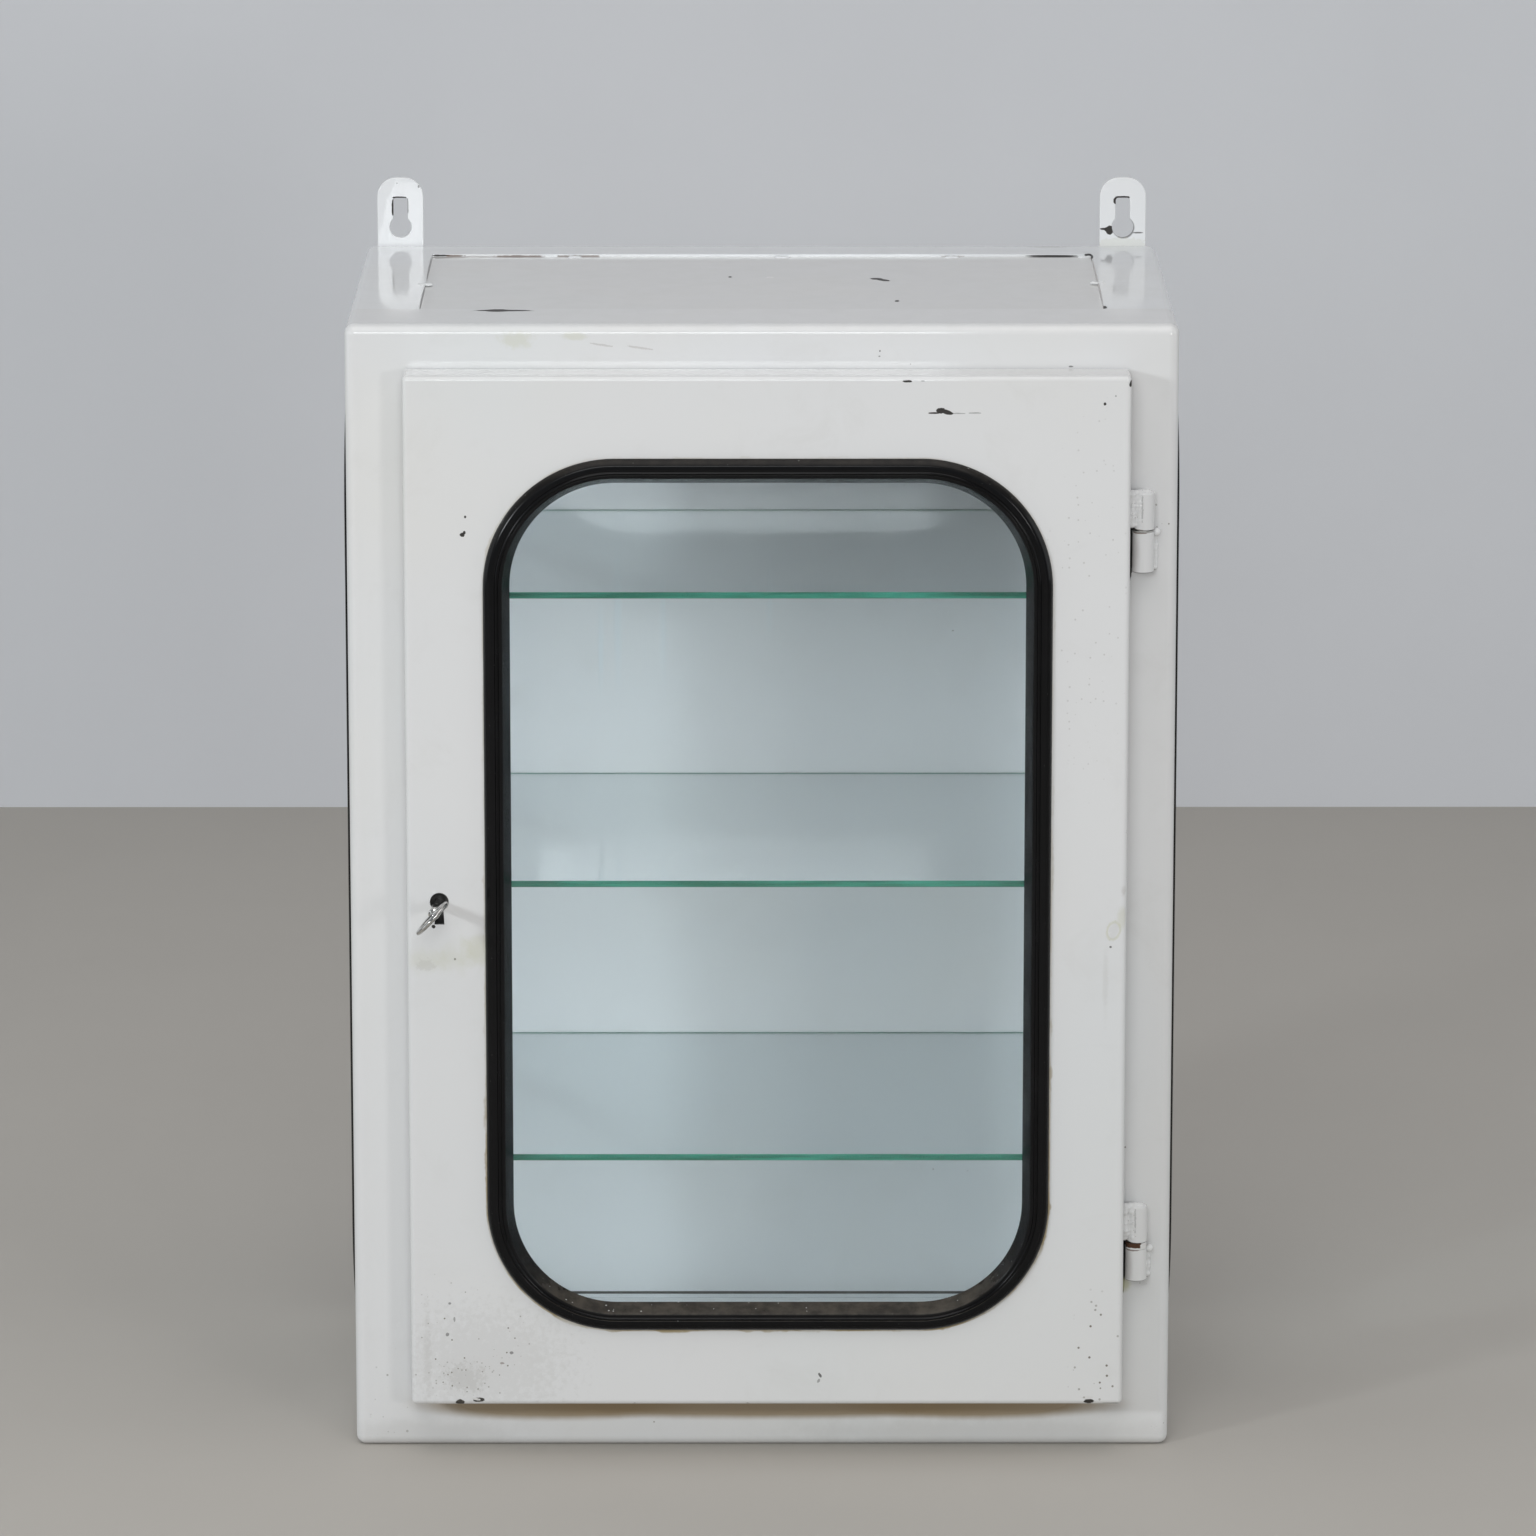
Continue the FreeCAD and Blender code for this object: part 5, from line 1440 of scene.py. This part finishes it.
@dataclass
class Key:
    """Pipe key with a warded bit and an oval ring bow, turned in the lock."""

    across: float = -194.9
    height: float = 350.0
    turn: float = 43.0
    lean_left: float = 3.0
    lean_up: float = 1.7
    pivot: float = -166.0
    tip: float = -163.0
    bore_depth: float = 14.0
    shank_radius: float = 3.1
    bore_radius: float = 1.8
    bow_middle: float = -218.99
    bow_half_length: float = 11.5
    bow_half_width: float = 13.5
    rim_half_width: float = 2.0
    rim_half_thickness: float = 1.5
    collar: Pair = (-205.1, -207.5)
    bit: Pair = (-173.1, -166.1)
    bit_reach: float = 11.4
    bit_half_thickness: float = 1.5
    half_ward: float = 0.7
    ward_depth: float = 3.0
    finish: Metal = Metal("key_chrome", colour=(0.64, 0.63, 0.61), gloss=0.07, dull=0.10, lines=900.0, tarnish=0.15)

    def build_shank(self, key: Shape) -> None:
        """The bored shank with its collars, turned about the Y axis."""
        r, bore, near = self.shank_radius, self.bore_radius, self.tip
        first, last = self.collar
        end = near - self.bore_depth
        profile = [
            (0.0, end), (bore, end), (bore, near), (r - 0.5, near), (r, near - 0.5), (r, first + 3.4),
            (r + 0.25, first + 3.0), (r + 0.25, first + 2.2), (r, first + 1.8), (r - 0.1, first + 0.4),
            (r + 0.2, first), (r + 0.35, first - 0.4), (r + 0.35, last + 0.5), (r + 0.1, last), (r - 0.7, last - 0.3),
            (r - 1.2, last - 1.4), (0.0, last - 2.4),
        ]
        key.lathe(key.wire([(-radius, depth, 0.0) for radius, depth in profile], closed=False), ORIGIN, INWARD, 36)

    def build_bow(self, key: Shape) -> None:
        """The ring bow: an oval section turned about the bow's middle, then drawn out to an oval."""
        bow = Shape()
        path = self.bow_half_length - self.rim_half_width
        section = Matrix.Translation((0.0, self.bow_middle - path, 0.0)) @ Matrix.Rotation(QUARTER, 4, "Z") \
            @ Matrix.Diagonal((self.rim_half_width, self.rim_half_thickness, 1.0, 1.0))
        bmesh.ops.create_circle(bow.mesh, cap_ends=False, segments=20, radius=1.0, matrix=section)
        bow.lathe(list(bow.mesh.edges), (0.0, self.bow_middle, 0.0), RIGHT, 56)
        bow.sharp_edges(180.0)
        place = Matrix.Translation((0.0, self.bow_middle, 0.0))
        wider = Matrix.Diagonal((1.0, 1.0, self.bow_half_width / self.bow_half_length, 1.0))
        bow.move(place @ wider @ place.inverted())
        data = bow.data("bow")
        key.mesh.from_mesh(data)
        bpy.data.meshes.remove(data)

    def build_bit(self, key: Shape) -> None:
        """The warded bit below the shank."""
        start, end = self.bit
        middle, foot, root = (start + end) / 2, -self.bit_reach, -self.shank_radius * 0.8
        near, far, ward = middle - self.half_ward, middle + self.half_ward, foot + self.ward_depth
        edges = key.wire([(-self.bit_half_thickness, depth, height) for depth, height in (
            (start, root), (start, foot), (near, foot), (near, ward), (far, ward), (far, foot), (end, foot),
            (end, root),
        )])
        key.thicken(key.fill(edges), (2 * self.bit_half_thickness, 0.0, 0.0))

    def build(self) -> None:
        """Builds the key upright, then turns it and lets it lean as it hangs in the worn lock."""
        key = Shape()
        self.build_shank(key)
        self.build_bit(key)
        self.build_bow(key)
        place = Matrix.Translation((self.across, self.pivot, self.height))
        for angle, axis in ((-self.lean_left, "Z"), (-self.lean_up, "X"), (self.turn, "Y")):
            place @= Matrix.Rotation(math.radians(angle), 4, axis)
        key.move(place @ Matrix.Translation((0.0, -self.pivot, 0.0)))
        key.finish("pipe_key", Body.KEY, Slot.CHROME, self.finish, replaces=["key"], weighted=False)


DOOR_MARKS = (
    on_door(CHIP, 106.8, 652.8, 2.6, 1.8, 0.7),
    on_door(CHIP, 110.0, 652.0, 4.2, 1.3, 0.7, lean=16.0),
    on_door(CHIP, 102.9, 651.4, 3.8, 0.5, 0.8),
    on_door(CHIP, 117.0, 651.2, 4.4, 0.3, 1.6, 0.5),
    on_door(CHIP, 127.5, 651.4, 3.6, 0.4, 1.6, 0.45),
    upright(DOOR_FACE, 3.0, CHIP, 86.5, 670.6, 2.9, 0.7, 1.2),
    upright(DOOR_FACE, 3.0, CHIP, 96.0, 670.8, 1.2, 0.4, 1.2, 0.4),
    on_door(CHIP, -179.3, 577.4, 1.5, 1.3, 1.3),
    on_door(CHIP, -177.9, 578.8, 0.8, 1.0),
    on_door(CHIP, -177.4, 588.4, 0.7, 0.8),
    upright(DOOR_FACE + 1.4, 3.0, CHIP, 220.4, 669.2, 1.3, 2.3, 0.5, lean=25.0),
    on_door(CHIP, 204.5, 656.9, 0.8, 0.9, 1.2),
    on_door(CHIP, 211.0, 661.7, 0.5, 0.5, strength=0.6),
    upright(DOOR_FACE + 0.5, 3.0, CHIP, -184.9, 35.9, 2.6, 2.0, 1.0),
    upright(DOOR_FACE + 0.5, 3.0, CHIP, -173.5, 37.7, 3.4, 1.5, 1.0),
    on_door(PAINT, -175.0, 38.2, 2.6, 0.8, 1.2, lean=14.0),
    on_foot(CHIP, 200.2, 36.6, 3.0, 1.5, 1.0),
    on_door(PAINT, 199.0, 39.4, 3.2, 0.8, 1.2),
    on_foot(CHIP, 213.5, 35.2, 5.4, 0.4, 1.3, 0.6),
    on_door(CHIP, -198.4, 336.2, 1.1, 1.1),
    on_door(CHIP, 35.5, 53.4, 0.9, 1.6, 1.6, 0.8, -30.0),
    on_door(CHIP, 34.6, 49.8, 0.8, 1.2, 1.6, 0.5, 30.0),
    on_door(CHIP, -185.7, 315.9, 0.6, 0.7, 0.6, 0.7),
    on_door(GLUE, -172.0, 320.5, 9.0, 7.5, 1.8, 0.75, soft=0.7, grain=90.0),
    on_door(GLUE, -186.0, 317.0, 9.0, 7.5, 1.8, 0.45, soft=0.8, grain=90.0),
    on_door(GLUE, -204.0, 315.0, 10.0, 6.0, 1.8, 0.45, soft=0.8, grain=90.0),
    on_door(GRIME, -203.5, 312.0, 5.0, 3.6, 3.0, 0.5, soft=0.4, grain=300.0),
    on_door(SPECKLE, -176.0, 72.0, 34.0, 42.0, 1.2, soft=0.3, grain=230.0),
    on_door(SPECKLE, -182.0, 50.0, 18.0, 12.0, 1.2, 0.8, soft=0.4, grain=430.0),
    on_door(SPECKLE, -155.0, 70.0, 12.0, 12.0, 1.2, 0.8, soft=0.4, grain=400.0),
    on_door(SPECKLE, 204.0, 66.0, 14.0, 34.0, 1.2, soft=0.4, grain=300.0),
    on_door(SPECKLE, 196.0, 540.0, 22.0, 110.0, 1.0, 0.25, soft=0.4, grain=240.0),
    on_door(GRIME, -170.0, 62.0, 44.0, 30.0, 3.6, 0.35, soft=0.5, grain=260.0),
    on_door(GRIME, -182.0, 52.0, 11.0, 8.0, 4.0, 0.6, soft=0.4, grain=500.0),
    on_door(GRIME, -204.5, 66.0, 2.0, 26.0, 4.0, 0.4, soft=0.6, grain=420.0),
    on_door(CHIP, -190.7, 99.1, 0.9, 0.8, 1.4, 0.6),
    on_door(CHIP, -192.4, 79.4, 1.0, 1.1, 1.4, 0.6),
    on_door(CHIP, -187.9, 89.0, 0.7, 1.6, 1.4, 0.5),
    on_door(CHIP, -153.2, 67.6, 1.1, 0.9, 1.4, 0.6),
    on_door(RUST, -159.0, 61.0, 1.4, 0.7, 1.4, 0.6),
    on_door(GLUE, 212.6, 333.5, 4.4, 6.4, 0.4, 0.8, 14.0, soft=0.12, hollow=0.72),
    on_door(GRIME, 212.6, 333.5, 2.4, 5.4, 2.4, 0.35, 8.0, soft=0.3),
    on_door(GLUE, 217.5, 341.5, 2.4, 6.0, 1.4, 0.6, soft=0.6, grain=150.0),
    on_door(CHIP, 210.9, 323.4, 0.7, 0.6, 0.6, 0.8),
    on_door(GRIME, 208.0, 300.0, 1.6, 18.0, 2.0, 0.35, soft=0.6, grain=90.0),
    on_door(GRIME, 218.6, 358.0, 1.4, 3.0, 1.4, 0.8, soft=0.5),
)


@dataclass
class Door:
    """The door: pressed pan, window rubber, locking strip and pane."""

    window: Triple = (3.6, DOOR_FACE, 353.0)
    low: Triple = (-214.5, DOOR_FACE, 34.5)
    high: Triple = (220.5, -152.0, 673.7)

    def build(self) -> None:
        """Dresses the pan and pane and builds the rubber."""
        seam = GlueSeam(self.window, (91.9, 9000.0, 191.8), 79.0)
        Enamel("enamel_door", wear=0.045, low=self.low, high=self.high, specks=0.02, marks=DOOR_MARKS,
               seam=seam).cover("door_pan")
        Glass("pane_glass").cover("door_glass")
        WindowRubber("door_window", ("door_seal", "door_seal_filler"), Body.DOOR, 329.8, 529.6, self.window).build()


@dataclass
class SideWindow:
    """A side window: rubber and pane."""

    side: Side

    def build(self) -> None:
        """Dresses the pane and builds the rubber, turned to face outwards."""
        word, way = self.side.word, self.side.value
        Glass("pane_glass").cover(f"{word}_side_glass")
        WindowRubber(f"{word}_window", (f"{word}_side_seal",), Body.CABINET, 185.0, 596.0,
                     (250.0 * way, 11.5, 350.0), turn=QUARTER * way, strip_crown=0.0).build()


@dataclass
class Shelves:
    """Three loose glass shelves with ground edges, on their angle rails."""

    names: tuple[str, ...] = ("bottom_shelf", "middle_shelf", "top_shelf")
    ground: float = 0.45
    face: Glass = Glass("shelf_glass")
    edge: GlassEdge = GlassEdge("shelf_glass_edge")
    rail: Enamel = Enamel("enamel_rails", specks=0.0)

    def build(self) -> None:
        """Cuts each shelf from its node's own box, grinds its edges and dresses its two rails."""
        for name in self.names:
            shelf = Shape()
            shelf.block(*(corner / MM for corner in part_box(name)))
            shelf.soften(self.ground, 2)
            shelf.finish(f"{name}_pane", Body.CABINET, Slot.GLASS, self.face, self.edge, replaces=[name],
                         pick=lambda face: 0 if abs(face.normal.z) > 0.95 else 1)
            self.rail.cover(*(f"{name.replace('shelf', side.word)}_shelf_rail" for side in Side))


@dataclass
class Studio:
    """Pale floor, wall, soft lamps, a dim sky and the camera."""

    floor: Plaster = Plaster("studio_floor", colour=(0.53, 0.50, 0.455))
    wall: Plaster = Plaster("studio_wall", colour=(0.80, 0.815, 0.845))
    wall_depth: float = 1593.0
    sheet_half_size: float = 4000.0
    sheet_cells: int = 8
    camera_place: Triple = (-1.402, -5051.307, 1540.644)
    camera_pitch: float = 12.786109
    camera_yaw: float = -0.0598
    lens: float = 194.626
    sensor: float = 36.0
    farthest: float = 50.0
    aim: Triple = (0.0, -0.15, 0.4)
    sky: Triple = (0.90, 0.95, 1.0)
    sky_strength: float = 0.258

    def sheet(self, place: Matrix, finish: Plaster) -> None:
        """Adds a large flat sheet of the stage, named like its paint.

        Args:
            place: Where it lies, in millimetres.
            finish: Its paint.
        """
        shape = Shape()
        bmesh.ops.create_grid(shape.mesh, x_segments=self.sheet_cells, y_segments=self.sheet_cells,
                              size=self.sheet_half_size, matrix=place)
        shape.move(Matrix.Scale(MM, 4))
        sheet = add_object(finish.name, shape.data(finish.name))
        sheet.data.materials.append(finish.material())

    def lamp(self, name: str, turn: float, rise: float, size: Pair, power: float, colour: Triple,
             distance: float = 4.0) -> None:
        """Adds a soft lamp that faces the cabinet.

        Args:
            name: Its name.
            turn: How far it stands round to the right of the front, in degrees.
            rise: How high it stands over the cabinet's middle, in degrees.
            size: Its width and height, in metres.
            power: Its power in watts.
            colour: The colour of its light.
            distance: How far it stands away, in metres.
        """
        data = bpy.data.lights.new(name, "AREA")
        data.shape, data.size, data.size_y, data.energy, data.color = "RECTANGLE", *size, power, colour
        turn, rise = math.radians(turn), math.radians(rise)
        flat = distance * math.cos(rise)
        away = Vector((flat * math.sin(turn), -flat * math.cos(turn), distance * math.sin(rise)))
        lamp = add_object(name, data)
        lamp.location = Vector(self.aim) + away
        lamp.rotation_euler = (-away).to_track_quat("-Z", "Y").to_euler()

    def build_lights(self) -> None:
        """Adds the lamps and the sky."""
        self.lamp("window_softbox", -6.0, 21.9, (0.8, 0.55), 8.8, (0.95, 0.985, 1.0), 2.3)
        self.lamp("left_softbox", -46.0, 15.0, (0.36, 0.36), 32.0, (0.92, 0.965, 1.0))
        self.lamp("right_softbox", 27.0, 8.0, (0.5, 0.5), 14.6, (1.0, 0.99, 0.985))
        self.lamp("ceiling_softbox", 0.0, 68.0, (2.4, 2.4), 25.0, (1.0, 0.955, 0.935), 2.6)
        self.lamp("left_side_softbox", -82.0, 12.0, (1.2, 1.2), 4.5, (0.93, 0.98, 1.0), 2.2)
        self.lamp("right_side_softbox", 82.0, 12.0, (1.2, 1.2), 5.5, (0.96, 0.98, 1.0), 2.2)
        world = bpy.data.worlds.new("soft_sky")
        world.use_nodes = True
        back = world.node_tree.nodes["Background"]
        back.inputs["Color"].default_value = (*self.sky, 1.0)
        back.inputs["Strength"].default_value = self.sky_strength
        bpy.context.scene.world = world

    def build_camera(self) -> None:
        """Adds the camera at the photograph's place."""
        data = bpy.data.cameras.new("studio_camera")
        data.lens, data.sensor_width, data.clip_end = self.lens, self.sensor, self.farthest
        camera = add_object("studio_camera", data)
        camera.location = Vector(self.camera_place) * MM
        camera.rotation_euler = (QUARTER - math.radians(self.camera_pitch), 0.0, math.radians(self.camera_yaw))
        bpy.context.scene.camera = camera

    def build(self) -> None:
        """Builds the stage, the lights and the camera."""
        self.sheet(Matrix.Identity(4), self.floor)
        self.sheet(Matrix.Translation((0.0, self.wall_depth, 0.0)) @ Matrix.Rotation(QUARTER, 4, "X"), self.wall)
        self.build_lights()
        self.build_camera()
        bpy.context.scene.view_settings.view_transform = "Standard"


def main() -> None:
    """Builds the studio and every sub-assembly of the cabinet, in order."""
    logging.basicConfig(level=logging.INFO, format="%(name)s: %(message)s")
    rust = Metal("washer_rust", colour=(0.3, 0.28, 0.26), gloss=0.5, rust=0.45, marks=(
        Mark(PAINT, (234.6, -161.0, 130.8), (3.6, 5.0, 3.2)),
        Mark(PAINT, (229.1, -160.0, 128.6), (9.0, 9.0, 1.5), 0.8)))
    steel = Metal("washer_steel", colour=(0.62, 0.62, 0.6))
    for part in (
        Studio(),
        BodyShell(),
        Hanger(Side.LEFT),
        Hanger(Side.RIGHT),
        Door(),
        SideWindow(Side.LEFT),
        SideWindow(Side.RIGHT),
        Shelves(),
        Hinge("upper", 551.0, 575.8, 576.8, 577.1, 600.4, steel, Slot.STEEL, 11),
        Hinge("lower", 108.8, 128.8, 132.8, 133.1, 156.4, rust, Slot.RUST, 12),
        RimLock(),
        Key(),
    ):
        part.build()
        log.info("done with %s", type(part).__name__)


if __name__ == "__main__":
    main()
